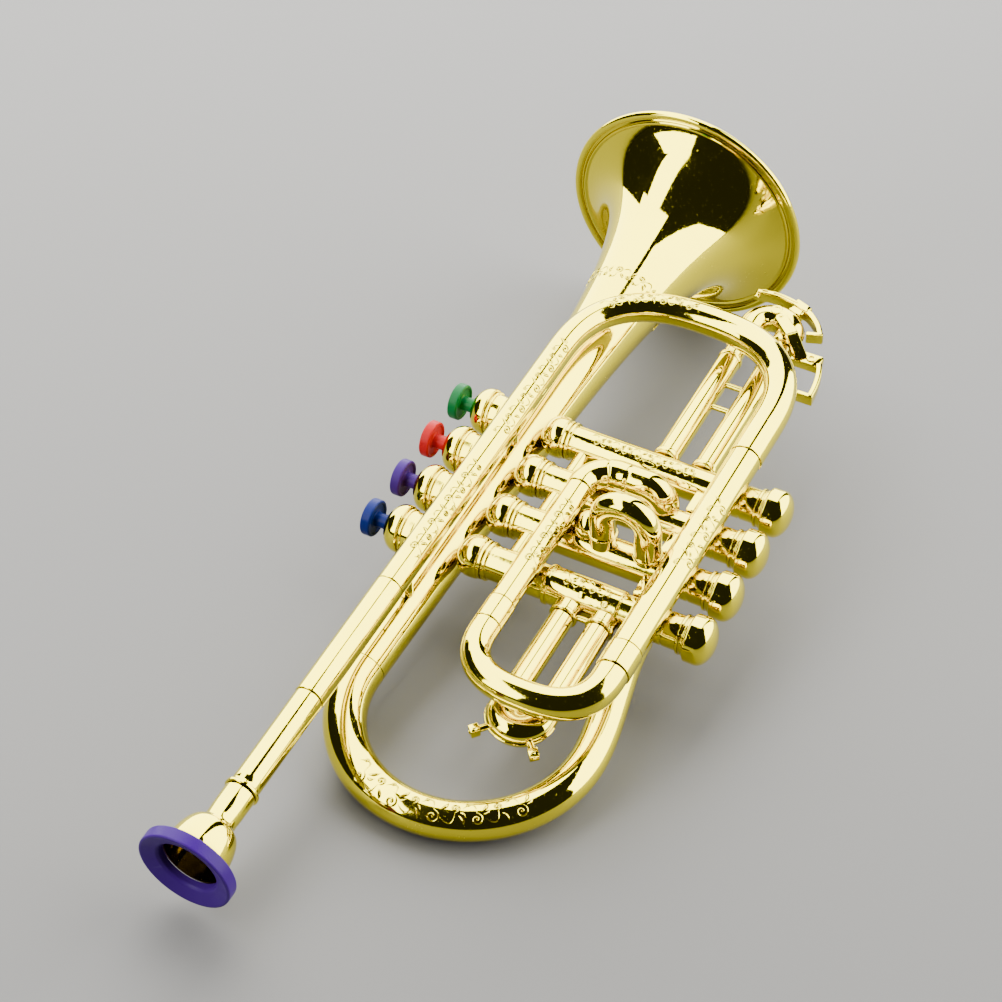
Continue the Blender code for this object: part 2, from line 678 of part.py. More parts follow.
def make_mouthpiece():
    """Coloured ring and plated cup, turned about X from the ring's face."""
    depth = RING_THICKNESS
    ring = [(RING_BORE + RING_EDGE, 0), (RING_RADIUS - RING_EDGE, 0), (RING_RADIUS, RING_EDGE),
            (RING_RADIUS, depth - RING_EDGE), (RING_RADIUS - RING_EDGE, depth), (RING_BORE, depth),
            (RING_BORE, RING_EDGE)]
    ring = [(r, h) for r, h in reversed(ring)]
    turned("mouthpiece_rim", ring, PURPLE, (RING_FACE_X, LEAD_Y, LEAD_Z), "X", 24, closed=True)
    cup_x = RING_FACE_X + RING_THICKNESS + GAP
    run = RECEIVER_START_X - GAP - cup_x
    outer = [(CUP_RADIUS, 0)]
    for k in range(1, 6):
        a = pi * k / 5
        ease = (1 + cos(a)) / 2
        outer.append((CUP_NECK_RADIUS + (CUP_RADIUS - CUP_NECK_RADIUS) * ease, CUP_LENGTH * k / 5))
    outer += [(SHANK_RADIUS, run), (SHANK_RADIUS - WALL, run), (SHANK_RADIUS - WALL, run + SHANK_SPIGOT)]
    bowl = CUP_RADIUS - WALL
    bowl_share, throat_share = 0.7, 0.8
    inner = [(SHANK_BORE, run + SHANK_SPIGOT), (SHANK_BORE, CUP_LENGTH * throat_share)]
    for k in range(3, -1, -1):
        a = pi / 2 * k / 4
        inner.append((SHANK_BORE + (bowl - SHANK_BORE) * cos(a), CUP_LENGTH * bowl_share * sin(a)))
    profile = (outer + inner)[::-1]
    turned("mouthpiece_cup", profile, GOLD, (cup_x, LEAD_Y, LEAD_Z), "X", 20, closed=True)


def straight(name, x0, x1, y, z, stations, mat=GOLD, wall=WALL, resolution=TUBE_RESOLUTION):
    """Straight tube along X. The stations are (distance from x0, radius) pairs."""
    points = [(x0 + d, y, z) for d, _ in stations] + [(x1, y, z)]
    radii = [r for _, r in stations] + [stations[-1][1]]
    return swept(name, points, radii, mat, wall, resolution)


def make_lead():
    band = [(0, RECEIVER_MOUTH_RADIUS), (RECEIVER_BAND, RECEIVER_MOUTH_RADIUS),
            (RECEIVER_BAND + GAP, RECEIVER_RADIUS)]
    straight("receiver", RECEIVER_START_X, MIDDLE_START_X - GAP, LEAD_Y, LEAD_Z, band)
    straight("middle_pipe", MIDDLE_START_X, LEAD_START_X - GAP, LEAD_Y, LEAD_Z, [(0, MIDDLE_RADIUS)])
    straight("lead_pipe", LEAD_START_X, UPPER_BEND_X - GAP, LEAD_Y, LEAD_Z, [(0, LEAD_RADIUS)])


def ferrule_stations(radius):
    """Stations of a tube with a slightly thicker sleeve at its start."""
    rise = radius + FERRULE_RISE
    return [(0, rise), (FERRULE_LENGTH, rise), (FERRULE_LENGTH + FERRULE_RISE, radius)]


def make_loop(second_casing):
    """Loop above the valves: upper bend, return tube, lower bend, short tube and small bend."""
    bend = rounded_bend((UPPER_BEND_X, LEAD_Y, LEAD_Z), (UPPER_BEND_X, RETURN_Y, LOOP_Z),
                        UPPER_BEND_DEPTH - BEND_STUB, 20, 1)
    bend = stubbed(bend, 1)
    bend[-1].x -= UPPER_BEND_RUN
    swept("upper_bend", bend, blend(LEAD_RADIUS, RETURN_RADIUS, len(bend)), GOLD, WALL)
    straight("return_tube", LOWER_BEND_X + GAP, bend[-1].x - GAP, RETURN_Y, LOOP_Z,
             ferrule_stations(RETURN_RADIUS - FERRULE_RISE))
    bend = rounded_bend((LOWER_BEND_X, RETURN_Y, LOOP_Z), (LOWER_BEND_X, SHORT_Y, LOOP_Z),
                        LOWER_BEND_DEPTH - BEND_STUB, 16, -1)
    bend = stubbed(bend, -1)
    swept("lower_bend", bend, blend(LOWER_BEND_RADIUS, SHORT_RADIUS, len(bend)), GOLD, WALL)
    straight("short_tube", LOWER_BEND_X + GAP, SHORT_END_X - GAP, SHORT_Y, LOOP_Z,
             ferrule_stations(SHORT_RADIUS - FERRULE_RISE))
    flat = ((1, 0, 0), (0, 1, 0))
    turn = arc((SHORT_END_X, SHORT_Y - SMALL_TURN, LOOP_Z), SMALL_TURN, pi / 2, 0, 6, flat)
    turn = stubbed(turn, 1, False)
    x = SHORT_END_X + BEND_STUB + SMALL_TURN
    drop = arc((x, SMALL_RUN_END_Y, LOOP_Z - SMALL_DROP), SMALL_DROP, pi / 2, pi, 5, ((0, 1, 0), (0, 0, 1)))
    points = turn + drop + [drop[-1] - Vector((0, 0, LOOP_Z - SMALL_DROP))]
    small = swept("small_bend", points, blend(SHORT_RADIUS, SMALL_END_RADIUS, len(points)), GOLD, WALL)
    boolean(small, second_casing)


def make_hoop(cutter):
    """Second slide: a hoop with both legs on the third casing."""
    x = valve_x(2)
    spring_z = HOOP_TOP_Z - HOOP_HALF
    top = arc((x, HOOP_Y, spring_z), HOOP_HALF, 0, pi, 10, ((0, 1, 0), (0, 0, 1)))
    points = [Vector((x, HOOP_Y + HOOP_HALF, 0))] + top + [Vector((x, HOOP_Y - HOOP_HALF, 0))]
    hoop = swept("second_slide", points, [HOOP_RADIUS] * len(points), GOLD, WALL, SMALL_TUBE_RESOLUTION)
    boolean(hoop, cutter)


def slide_loop(name, start_x, bow_x, left_y, right_y, direction):
    """Two slide tubes joined by a fatter return bow, in one piece."""
    half = (left_y - right_y) / 2
    middle = (left_y + right_y) / 2
    turn = arc((bow_x, middle, 0), half, pi / 2, -pi / 2, 8, ((direction, 0, 0), (0, 1, 0)))
    step = Vector((direction * SLIDE_BOW_RADIUS, 0, 0))
    rise = Vector((direction * (SLIDE_BOW_RADIUS - SLIDE_INNER_RADIUS), 0, 0))
    legs = []
    for end in (turn[0], turn[-1]):
        legs.append([Vector((start_x, end.y, 0)), end - step - rise, end - step])
    points = legs[0] + turn + legs[1][::-1]
    radii = [SLIDE_INNER_RADIUS] * 2 + [SLIDE_BOW_RADIUS] * (len(turn) + 2) + [SLIDE_INNER_RADIUS] * 2
    return swept(name, points, radii, GOLD, None, SMALL_TUBE_RESOLUTION)


def make_front_slide(cutter):
    """Front slide: two sleeves with braces on the first casing, and a loop behind them."""
    x = valve_x(0)
    pieces = []
    for side, y in enumerate((SLIDE_LEFT_Y, FRONT_RIGHT_Y)):
        points = [(x, y, 0), (FRONT_SLEEVE_X, y, 0)]
        radii = [SLIDE_RADIUS] * 2
        pieces.append(swept(f"sleeve_{side}", points, radii, GOLD, None, SMALL_TUBE_RESOLUTION))
    for k, back in enumerate(FRONT_BRACE_BACK):
        at = FRONT_SLEEVE_X - back
        mesh = rod((at, SLIDE_LEFT_Y, 0), (at, FRONT_RIGHT_Y, 0), BRACE_RADIUS, 8)
        pieces.append(place(f"brace_{k}", mesh, GOLD))
    boolean(welded("front_slide_sleeves", pieces), cutter)
    slide_loop("front_slide", FRONT_SLEEVE_X + GAP, FRONT_BOW_X, SLIDE_LEFT_Y, FRONT_RIGHT_Y, 1)


def make_rear_slide(cutter):
    """Rear slide: two braced bosses on the rear casing, and a loop with two square pegs."""
    x = valve_x(VALVES - 1)
    pieces = []
    for side, y in enumerate((SLIDE_LEFT_Y, REAR_RIGHT_Y)):
        points = [(x, y, 0), (REAR_BOSS_X, y, 0)]
        radii = [REAR_BOSS_RADIUS] * 2
        pieces.append(swept(f"boss_{side}", points, radii, GOLD, None, SMALL_TUBE_RESOLUTION))
    at = REAR_BOSS_X + 2 * BRACE_RADIUS
    brace = rod((at, SLIDE_LEFT_Y, 0), (at, REAR_RIGHT_Y, 0), BRACE_RADIUS, 8)
    pieces.append(place("boss_brace", brace, GOLD))
    boolean(welded("rear_slide_bosses", pieces), cutter)
    loop = slide_loop("rear_loop", REAR_BOSS_X - GAP, REAR_BOW_X, SLIDE_LEFT_Y, REAR_RIGHT_Y, -1)
    middle = (SLIDE_LEFT_Y + REAR_RIGHT_Y) / 2
    half = (SLIDE_LEFT_Y - REAR_RIGHT_Y) / 2
    centre = Vector((REAR_BOW_X, middle, 0))
    web_up = Vector((0, 0, REAR_WEB_THICKNESS / 2))
    hub_up = Vector((0, 0, REAR_HUB_HEIGHT / 2))
    web = rod(centre - web_up, centre + web_up, half)
    hub = rod(centre - hub_up, centre + hub_up, REAR_HUB_RADIUS, 12)
    pieces = [loop, place("web", web, GOLD), place("hub", hub, GOLD)]
    for k, angle in enumerate(PEG_ANGLES):
        out = Vector((-cos(angle), sin(angle), 0))
        root = centre + out * half
        tip = root + out * (SLIDE_BOW_RADIUS + PEG_STALK + PEG_SIZE / 2)
        pieces.append(place(f"stalk_{k}", rod(root, tip, PEG_STALK_RADIUS, 8), GOLD))
        pieces.append(block(tip, (PEG_SIZE,) * 3, GOLD, f"peg_{k}", -angle))
    welded("rear_slide", pieces)


def strip(name, centre_line, thickness, height, z, mat):
    """Flat strip that follows a line in plan, made as an extruded outline."""
    left = []
    right = []
    for k, p in enumerate(centre_line):
        before = centre_line[max(k - 1, 0)]
        after = centre_line[min(k + 1, len(centre_line) - 1)]
        along = Vector((after[0] - before[0], after[1] - before[1]))
        along.normalize()
        side = Vector((-along.y, along.x)) * (thickness / 2)
        left.append((p[0] + side.x, p[1] + side.y))
        right.append((p[0] - side.x, p[1] - side.y))
    outline = left + right[::-1]
    curve = bpy.data.curves.new(name, "CURVE")
    curve.dimensions = "2D"
    curve.fill_mode = "BOTH"
    curve.extrude = height / 2
    spline = curve.splines.new("POLY")
    spline.points.add(len(outline) - 1)
    for point, (x, y) in zip(spline.points, outline):
        point.co = (x, y, 0, 1)
    spline.use_cyclic_u = True
    flat = bpy.data.objects.new(name + "_outline", curve)
    PARTS.objects.link(flat)
    bpy.context.view_layer.update()
    graph = bpy.context.evaluated_depsgraph_get()
    mesh = bpy.data.meshes.new_from_object(flat.evaluated_get(graph))
    bpy.data.objects.remove(flat)
    bm = bmesh.new()
    bm.from_mesh(mesh)
    bmesh.ops.remove_doubles(bm, verts=bm.verts, dist=MERGE)
    bmesh.ops.translate(bm, verts=bm.verts, vec=(0, 0, z))
    bmesh.ops.recalc_face_normals(bm, faces=bm.faces)
    bm.to_mesh(mesh)
    bm.free()
    mesh.materials.clear()
    return place(name, mesh, mat)


def make_hooks():
    """Two curved hooks: one round the end of the front bow, one beside the upper bend."""
    middle = (SLIDE_LEFT_Y + FRONT_RIGHT_Y) / 2
    half = (SLIDE_LEFT_Y - FRONT_RIGHT_Y) / 2
    bow_reach = half + SLIDE_BOW_RADIUS
    radius = bow_reach + HOOK_CLEAR + HOOK_THICKNESS / 2
    line = []
    for k in range(13):
        a = HOOK_START_ANGLE + (HOOK_END_ANGLE - HOOK_START_ANGLE) * k / 12
        line.append((FRONT_BOW_X + radius * cos(a), middle + radius * sin(a)))
    hook = strip("front_strip", line, HOOK_THICKNESS, HOOK_HEIGHT, 0, GOLD)
    out = Vector((cos(HOOK_POST_ANGLE), sin(HOOK_POST_ANGLE), 0))
    near = bow_reach + GAP
    post = block(Vector((FRONT_BOW_X, middle, 0)) + out * ((near + radius) / 2),
                 (radius - near, HOOK_POST_WIDTH, HOOK_POST_HEIGHT), GOLD, "front_post", HOOK_POST_ANGLE)
    size = (HOOK_BAR_WIDTH, HOOK_BAR_THICKNESS, HOOK_BAR_HEIGHT)
    inward = Vector((cos(HOOK_END_ANGLE), sin(HOOK_END_ANGLE), 0)) * ((HOOK_THICKNESS - HOOK_BAR_WIDTH) / 2)
    tip = block(Vector((*line[-1], 0)) + inward, size, GOLD, "front_bar", HOOK_END_ANGLE)
    welded("front_hook", [hook, post, tip])
    start_y = FRONT_RIGHT_Y - SLIDE_BOW_RADIUS - GAP
    tail_x = FRONT_BOW_X - SIDE_HOOK_BACK
    line = []
    for k in range(8):
        a = SIDE_HOOK_ANGLE + (pi / 2 - SIDE_HOOK_ANGLE) * k / 7
        line.append((tail_x + SIDE_HOOK_LENGTH * cos(a), start_y - SIDE_HOOK_REACH * sin(a)))
    pieces = [strip("side_strip", line, HOOK_THICKNESS, HOOK_HEIGHT, 0, GOLD)]
    size = (HOOK_BAR_THICKNESS, HOOK_BAR_WIDTH, HOOK_BAR_HEIGHT)
    shift = (HOOK_BAR_WIDTH - HOOK_THICKNESS) / 2
    pieces.append(block((line[-1][0], line[-1][1] + shift, 0), size, GOLD, "side_bar"))
    size = (SIDE_BLOCK_X, SIDE_BLOCK_Y, HOOK_POST_HEIGHT)
    middle_x = line[0][0] + SIDE_BLOCK_X / 2 - SIDE_BLOCK_OVERLAP
    pieces.append(block((middle_x, start_y - SIDE_BLOCK_Y / 2, 0), size, GOLD, "side_block"))
    high = SLIDE_BOW_RADIUS + ARM_LIFT + ARM_THICKNESS / 2
    knots = [Vector((FRONT_BOW_X + ARM_START[0], middle + ARM_START[1], high)),
             Vector((FRONT_BOW_X + ARM_KNEE[0], middle + ARM_KNEE[1], high)),
             Vector((FRONT_BOW_X + ARM_END[0], middle + ARM_END[1], ARM_END_Z))]
    for k in range(2):
        pieces.append(flat_bar(knots[k], knots[k + 1], ARM_WIDTH, ARM_THICKNESS, f"arm_{k}"))
    pin_up = Vector((0, 0, ARM_THICKNESS / 2))
    pieces.append(place("arm_pin", rod(knots[0] - pin_up, knots[0] + pin_up, ARM_WIDTH / 2), GOLD))
    welded("side_hook", pieces)


def make_props():
    """Props that carry the lead pipe on the bell tube."""
    for k, x in enumerate(PROP_X):
        mesh = rod((x, BELL_Y, BELL_Z), (x, LEAD_Y, LEAD_Z), PROP_RADIUS, 10)
        prop = place(f"lead_prop_{k + 1}", mesh, GOLD)
        reach = 2 * PROP_RADIUS
        low = bell_seat(x, reach, f"prop_low_{k}")
        high = guide(f"prop_high_{k}", rod((x - reach, LEAD_Y, LEAD_Z), (x + reach, LEAD_Y, LEAD_Z),
                                           LEAD_RADIUS + GAP, 24))
        boolean(prop, low)
        boolean(prop, high)


def rest_on_table():
    """Tilt the toy onto its bell rim and bow, then centre it over the origin."""
    rim_low = BELL_Z - BELL_RIM_RADIUS
    bow_low = BELL_Z - BOW_TUBE_REAR
    bow_x = BELL_TAIL_X - GAP - BOW_RADIUS
    REST.rotation_euler = (0, -atan2(bow_low - rim_low, BELL_RIM_X - bow_x), 0)
    bpy.context.view_layer.update()
    graph = bpy.context.evaluated_depsgraph_get()
    corners = []
    for obj in PARTS.objects:
        if obj.type != "MESH":
            continue
        mesh = obj.evaluated_get(graph).to_mesh()
        corners += [obj.matrix_world @ v.co for v in mesh.vertices]
        obj.evaluated_get(graph).to_mesh_clear()
    low = [min(c[k] for c in corners) for k in range(3)]
    high = [max(c[k] for c in corners) for k in range(3)]
    REST.location = (-(low[0] + high[0]) / 2, -(low[1] + high[1]) / 2, -low[2])
    bpy.context.view_layer.update()


casing_cutters = []
for index in range(VALVES):
    radius = SLEEVE_RADIUS if index == VALVES - 1 else CASING_RADIUS
    casing_cutters.append(casing_cutter(index, radius + GAP, f"casing_cutter_{index + 1}"))
rear_foot_cutter = casing_cutter(VALVES - 1, CASING_RADIUS + GAP, "rear_foot_cutter")

ports = []
for index in range(VALVES):
    make_casing(index)
    make_foot(index)
    seat_cone = bell_seat(valve_x(index), CAP_RADIUS, f"seat_cutter_{index + 1}")
    make_cap(index, seat_cone)
    ports.append(make_neck(index, seat_cone))
    make_plate(index)
    make_reed(index)
    make_spring(index)
    make_pad(index)
    make_button(index)
make_bell(ports)
make_bow(rear_foot_cutter)
make_props()
make_mouthpiece()
make_lead()
make_loop(casing_cutters[1])
make_hoop(casing_cutters[2])
make_front_slide(casing_cutters[0])
make_rear_slide(casing_cutters[-1])
make_hooks()
rest_on_table()
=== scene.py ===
"""Looks of the toy trumpet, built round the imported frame.

Pieces are modelled in the instrument's own playing frame, in metres: +X from
the mouthpiece to the bell, +Y towards the buttons, +Z away from the table.
One matrix, REST, then lays them where the CAD lies.
"""
from bisect import bisect_right
from math import asin, cos, hypot, pi, sin, tau

import bmesh
import bpy
from mathutils import Matrix, Vector


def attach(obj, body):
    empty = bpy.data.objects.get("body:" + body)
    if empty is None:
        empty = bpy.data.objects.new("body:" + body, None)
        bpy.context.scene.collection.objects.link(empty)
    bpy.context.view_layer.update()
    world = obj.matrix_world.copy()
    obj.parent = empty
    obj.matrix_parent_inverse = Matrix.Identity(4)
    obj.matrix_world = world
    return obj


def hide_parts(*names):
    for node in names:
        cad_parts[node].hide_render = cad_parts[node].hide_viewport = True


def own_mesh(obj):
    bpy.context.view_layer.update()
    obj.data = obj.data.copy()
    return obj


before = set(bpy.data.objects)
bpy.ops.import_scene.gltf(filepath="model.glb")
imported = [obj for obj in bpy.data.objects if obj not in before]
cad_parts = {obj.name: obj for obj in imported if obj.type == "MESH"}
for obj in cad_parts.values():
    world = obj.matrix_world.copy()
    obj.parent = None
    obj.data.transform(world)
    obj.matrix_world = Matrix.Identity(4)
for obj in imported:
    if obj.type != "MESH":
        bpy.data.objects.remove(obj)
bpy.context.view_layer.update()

REST = Matrix.Translation((0.0081553, -0.01415, 0.0335319)) @ Matrix.Rotation(-0.1398878, 4, "Y")
BODY = "instrument"
COLOURS = ("green", "red", "purple", "blue")
UP = Vector((0, 0, 1))
MERGE = 0.0000008
SHARP_ANGLE = 0.45
GAP = 0.0003
VALVE_PITCH = 0.0211
VALVE_X = [(1.5 - i) * VALVE_PITCH for i in range(4)]
BELL_X, BELL_Y, BELL_Z = 0.1724, 0.0418, -0.0090
LEAD_Y, LEAD_Z, LOOP_Z = 0.0407, 0.0140, 0.0128
RETURN_Y, SHORT_Y = -0.0409, 0.0045
FRONT_Y, REAR_Y = (-0.0112, -0.0258), (-0.0112, -0.0245)
FRONT_MIDDLE, REAR_MIDDLE = sum(FRONT_Y) / 2, sum(REAR_Y) / 2
AXIS_X, AXIS_Y, AXIS_Z = (1, 0, 0), (0, 1, 0), (0, 0, 1)


# Shader groups

class Nodes:
    """Short way to add and link shader nodes."""

    def __init__(self, tree):
        self.tree = tree

    def add(self, kind, settings=None, pairs=()):
        node = self.tree.nodes.new(kind)
        for key, value in (settings or {}).items():
            setattr(node, key, value)
        for key, value in pairs:
            if isinstance(value, bpy.types.NodeSocket):
                self.tree.links.new(value, node.inputs[key])
            else:
                node.inputs[key].default_value = value
        return node

    def noise(self, place, scale, detail):
        pairs = (("Vector", place), ("Scale", scale), ("Detail", detail))
        return self.add("ShaderNodeTexNoise", {}, pairs).outputs["Fac"]

    def math(self, operation, a, b):
        return self.add("ShaderNodeMath", {"operation": operation}, ((0, a), (1, b))).outputs[0]

    def span(self, value, low, high, to_low, to_high):
        return self.add("ShaderNodeMapRange", {"clamp": True}, (
            ("Value", value), ("From Min", low), ("From Max", high),
            ("To Min", to_low), ("To Max", to_high))).outputs[0]

    def mix(self, factor, a, b):
        return self.add("ShaderNodeMix", {"data_type": "RGBA"}, ((0, factor), (6, a), (7, b))).outputs[2]

    def bump(self, height, strength, distance, normal=None):
        pairs = [("Strength", strength), ("Distance", distance), ("Height", height)]
        if normal is not None:
            pairs.append(("Normal", normal))
        return self.add("ShaderNodeBump", {}, pairs).outputs[0]

    def put(self, value, socket):
        self.tree.links.new(value, socket)


def new_group(name, inputs):
    """Shader group with the named inputs, and a colour, a roughness and a normal as outputs."""
    group = bpy.data.node_groups.new(name, "ShaderNodeTree")
    for label, value in inputs:
        kind = "NodeSocketColor" if isinstance(value, tuple) else "NodeSocketFloat"
        group.interface.new_socket(name=label, in_out="INPUT", socket_type=kind).default_value = value
    for label, kind in (("Base Color", "NodeSocketColor"), ("Roughness Out", "NodeSocketFloat"),
                        ("Normal", "NodeSocketVector")):
        group.interface.new_socket(name=label, in_out="OUTPUT", socket_type=kind)
    n = Nodes(group)
    return group, n, n.add("NodeGroupInput").outputs, n.add("NodeGroupOutput").inputs


def plating_group():
    """Plating on plastic: orange peel, sink waves, haze, dust specks and random darker patches, with painted
    shade: a dark brown where ambient occlusion finds a recess.
    """
    group, n, given, out = new_group("bright_plating", (
        ("Colour", (0.97, 0.83, 0.03, 1)), ("Shade And Patch Colour", (0.20, 0.115, 0.008, 1)),
        ("Roughness", 0.035), ("Haze", 0.07), ("Peel", 0.03), ("Reach", 0.005),
        ("Shade Full At", 0.15), ("Shade Gone At", 0.80), ("Depth", 0.85)))
    place = n.add("ShaderNodeTexCoord").outputs["Object"]
    cloud = n.noise(place, 38.0, 3.0)
    specks = n.noise(place, 1300.0, 1.0)
    waves = n.noise(place, 90.0, 1.0)
    peel = n.noise(place, 520.0, 1.0)
    # Painted shade: where ambient occlusion finds nearby surfaces, the colour darkens to the shade colour and
    # gets a little rougher.
    near = n.add("ShaderNodeAmbientOcclusion", {"samples": 6}, (("Distance", given["Reach"]),))
    hidden = near.outputs["AO"]
    painted_shade = n.math("MULTIPLY", n.span(hidden, given["Shade Full At"], given["Shade Gone At"], 1.0, 0.0), given["Depth"])
    colour_with_painted_shade = n.mix(painted_shade, given["Colour"], given["Shade And Patch Colour"])
    # Random darker patches lean to the same colour as the painted shade.
    n.put(n.mix(n.span(cloud, 0.40, 0.75, 0.0, 0.06), colour_with_painted_shade, given["Shade And Patch Colour"]), out["Base Color"])
    patch = n.math("MULTIPLY", n.span(cloud, 0.45, 0.75, 0.0, 1.0), given["Haze"])
    dust = n.math("MULTIPLY", n.span(specks, 0.68, 0.76, 0.0, 3.0), given["Haze"])
    rough = n.math("ADD", given["Roughness"], n.math("ADD", patch, dust))
    n.put(n.math("ADD", rough, n.math("MULTIPLY", painted_shade, 0.08)), out["Roughness Out"])
    sink = n.bump(waves, n.math("MULTIPLY", given["Peel"], 0.6), 0.0012)
    n.put(n.bump(peel, given["Peel"], 0.0003, sink), out["Normal"])
    return group


def moulded_group():
    """Satin injection moulding: fine grain, slight colour drift, flow marks and rubbed high spots."""
    group, n, given, out = new_group("moulded_plastic", (
        ("Colour", (0.1, 0.05, 0.4, 1)), ("Roughness", 0.34), ("Grain", 0.10)))
    place = n.add("ShaderNodeTexCoord").outputs["Object"]
    cloud = n.noise(place, 60.0, 3.0)
    fine = n.noise(place, 2600.0, 2.0)
    flow = n.add("ShaderNodeTexWave", {"wave_type": "RINGS"}, (
        ("Vector", place), ("Scale", 45.0), ("Distortion", 7.0), ("Detail", 2.0))).outputs["Fac"]
    lighter = n.mix(0.05, given["Colour"], (0.6, 0.6, 0.7, 1))
    worn = n.span(n.add("ShaderNodeNewGeometry").outputs["Pointiness"], 0.51, 0.58, 0.0, 0.55)
    drift = n.mix(n.span(cloud, 0.35, 0.7, 0.0, 0.25), given["Colour"], lighter)
    n.put(n.mix(worn, drift, lighter), out["Base Color"])
    rough = n.math("ADD", given["Roughness"], n.span(cloud, 0.3, 0.7, -0.04, 0.08))
    n.put(n.math("ADD", rough, n.span(flow, 0.0, 1.0, -0.02, 0.03)), out["Roughness Out"])
    n.put(n.bump(fine, given["Grain"], 0.0002), out["Normal"])
    return group


PLATING = plating_group()
MOULDED = moulded_group()


def finish(name, group, metallic, values=None, shine=0.5):
    """Material whose group feeds one shader."""
    mat = bpy.data.materials.new(name)
    mat.use_nodes = True
    tree = mat.node_tree
    shader = tree.nodes["Principled BSDF"]
    node = tree.nodes.new("ShaderNodeGroup")
    node.node_tree = group
    for key, value in (values or {}).items():
        node.inputs[key].default_value = value
    tree.links.new(node.outputs["Base Color"], shader.inputs["Base Color"])
    tree.links.new(node.outputs["Roughness Out"], shader.inputs["Roughness"])
    tree.links.new(node.outputs["Normal"], shader.inputs["Normal"])
    shader.inputs["Metallic"].default_value = metallic
    shader.inputs["Specular IOR Level"].default_value = shine
    return mat


# Every finish on the plating group darkens to its shade colour where ambient occlusion finds a recess: this
# is painted shade.
GOLD = finish("gold_plating", PLATING, 1.0)
# Near-black painted shade on the flanks of each raised line, from short-reach ambient occlusion.
RELIEF = finish("gold_relief", PLATING, 1.0, {
    "Shade And Patch Colour": (0.035, 0.016, 0.001, 1), "Roughness": 0.10, "Haze": 0.10, "Peel": 0.10,
    "Reach": 0.0008, "Shade Full At": 0.55, "Shade Gone At": 0.97, "Depth": 1.0})
# Dark painted shade deep inside the cup, from long-reach ambient occlusion.
CUP_GOLD = finish("gold_in_the_cup", PLATING, 1.0, {
    "Shade And Patch Colour": (0.07, 0.03, 0.002, 1), "Reach": 0.022,
    "Shade Full At": 0.30, "Shade Gone At": 0.80, "Depth": 1.0})
# Painted shadow: the dark ribbon laid under each raised line.
PAINTED_SHADOW_RIBBON = finish("gold_shadow", PLATING, 1.0, {
    "Colour": (0.11, 0.065, 0.008, 1), "Shade And Patch Colour": (0.03, 0.015, 0.001, 1),
    "Roughness": 0.30, "Haze": 0.10, "Peel": 0.05})
# Grey painted shade in the recesses of the spring steel.
STEEL = finish("spring_steel", PLATING, 1.0, {
    "Colour": (0.62, 0.62, 0.64, 1), "Shade And Patch Colour": (0.25, 0.25, 0.27, 1), "Roughness": 0.22})
BRASS = finish("reed_brass", PLATING, 1.0, {"Colour": (0.75, 0.52, 0.22, 1), "Roughness": 0.3})
PLASTIC_COLOURS = {"green": (0.002, 0.125, 0.032, 1), "red": (0.42, 0.0015, 0.004, 1),
                   "purple": (0.036, 0.004, 0.150, 1), "blue": (0.001, 0.010, 0.130, 1)}
PLASTIC_SHINE = 0.10
PLASTICS = {name: finish(f"{name}_plastic", MOULDED, 0.0, {"Colour": colour}, PLASTIC_SHINE)
            for name, colour in PLASTIC_COLOURS.items()}
WHITE = finish("white_plastic", MOULDED, 0.0, {"Colour": (0.8, 0.8, 0.76, 1), "Roughness": 0.45})
RUBBER = finish("pad_rubber", MOULDED, 0.0, {"Colour": (0.7, 0.67, 0.6, 1), "Roughness": 0.8, "Grain": 0.3})


# Mesh helpers

def new_mesh(name, bm):
    mesh = bpy.data.meshes.new(name)
    bm.to_mesh(mesh)
    bm.free()
    return mesh


def add_object(name, data):
    obj = bpy.data.objects.new(name, data)
    bpy.context.scene.collection.objects.link(obj)
    return obj


def finish_piece(name, bm, mat=GOLD, slot="gold_plating", body=BODY, replaces=()):
    """Turn a bmesh in the playing frame into a piece that rides on its body."""
    bmesh.ops.transform(bm, matrix=REST, verts=bm.verts)
    bmesh.ops.remove_doubles(bm, verts=bm.verts, dist=MERGE)
    bmesh.ops.recalc_face_normals(bm, faces=bm.faces)
    mesh = new_mesh(name, bm)
    obj = add_object(name, mesh)
    mesh.materials.append(mat)
    mesh.shade_smooth()
    mesh.set_sharp_from_angle(angle=SHARP_ANGLE)
    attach(obj, body)
    if replaces:
        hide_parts(*replaces)
    return obj


def filleted(profile, radius=0.00035, steps=4, closed=False):
    """Round the corners of a polyline of (radius, height) pairs, and hold the flats beside them."""
    points = [Vector(p) for p in profile]
    count = len(points)
    made = []
    for k, p in enumerate(points):
        if not closed and k in (0, count - 1):
            made.append(p)
            continue
        a, b = points[k - 1] - p, points[(k + 1) % count] - p
        if a.normalized().dot(b.normalized()) < -0.96:
            made.append(p)
            continue
        reach = min(radius, a.length * 0.36, b.length * 0.36)
        start, end = p + a.normalized() * reach, p + b.normalized() * reach
        made.append(start + a.normalized() * reach * 0.3)
        for j in range(steps + 1):
            t = j / steps
            made.append(start * (1 - t) ** 2 + p * 2 * t * (1 - t) + end * t * t)
        made.append(end + b.normalized() * reach * 0.3)
    return made


def lathe(bm, profile, origin, axis, steps=96, closed=False):
    """Spin a profile of (radius, height) pairs about an axis through the origin given."""
    axis, origin = Vector(axis), Vector(origin)
    side = axis.orthogonal().normalized()
    verts = [bm.verts.new(origin + axis * h + side * r) for r, h in profile]
    ring = verts[1:] + verts[:1] if closed else verts[1:]
    edges = [bm.edges.new(pair) for pair in zip(verts, ring)]
    bmesh.ops.spin(bm, geom=verts + edges, cent=origin, axis=axis, angle=tau, steps=steps, use_merge=True)


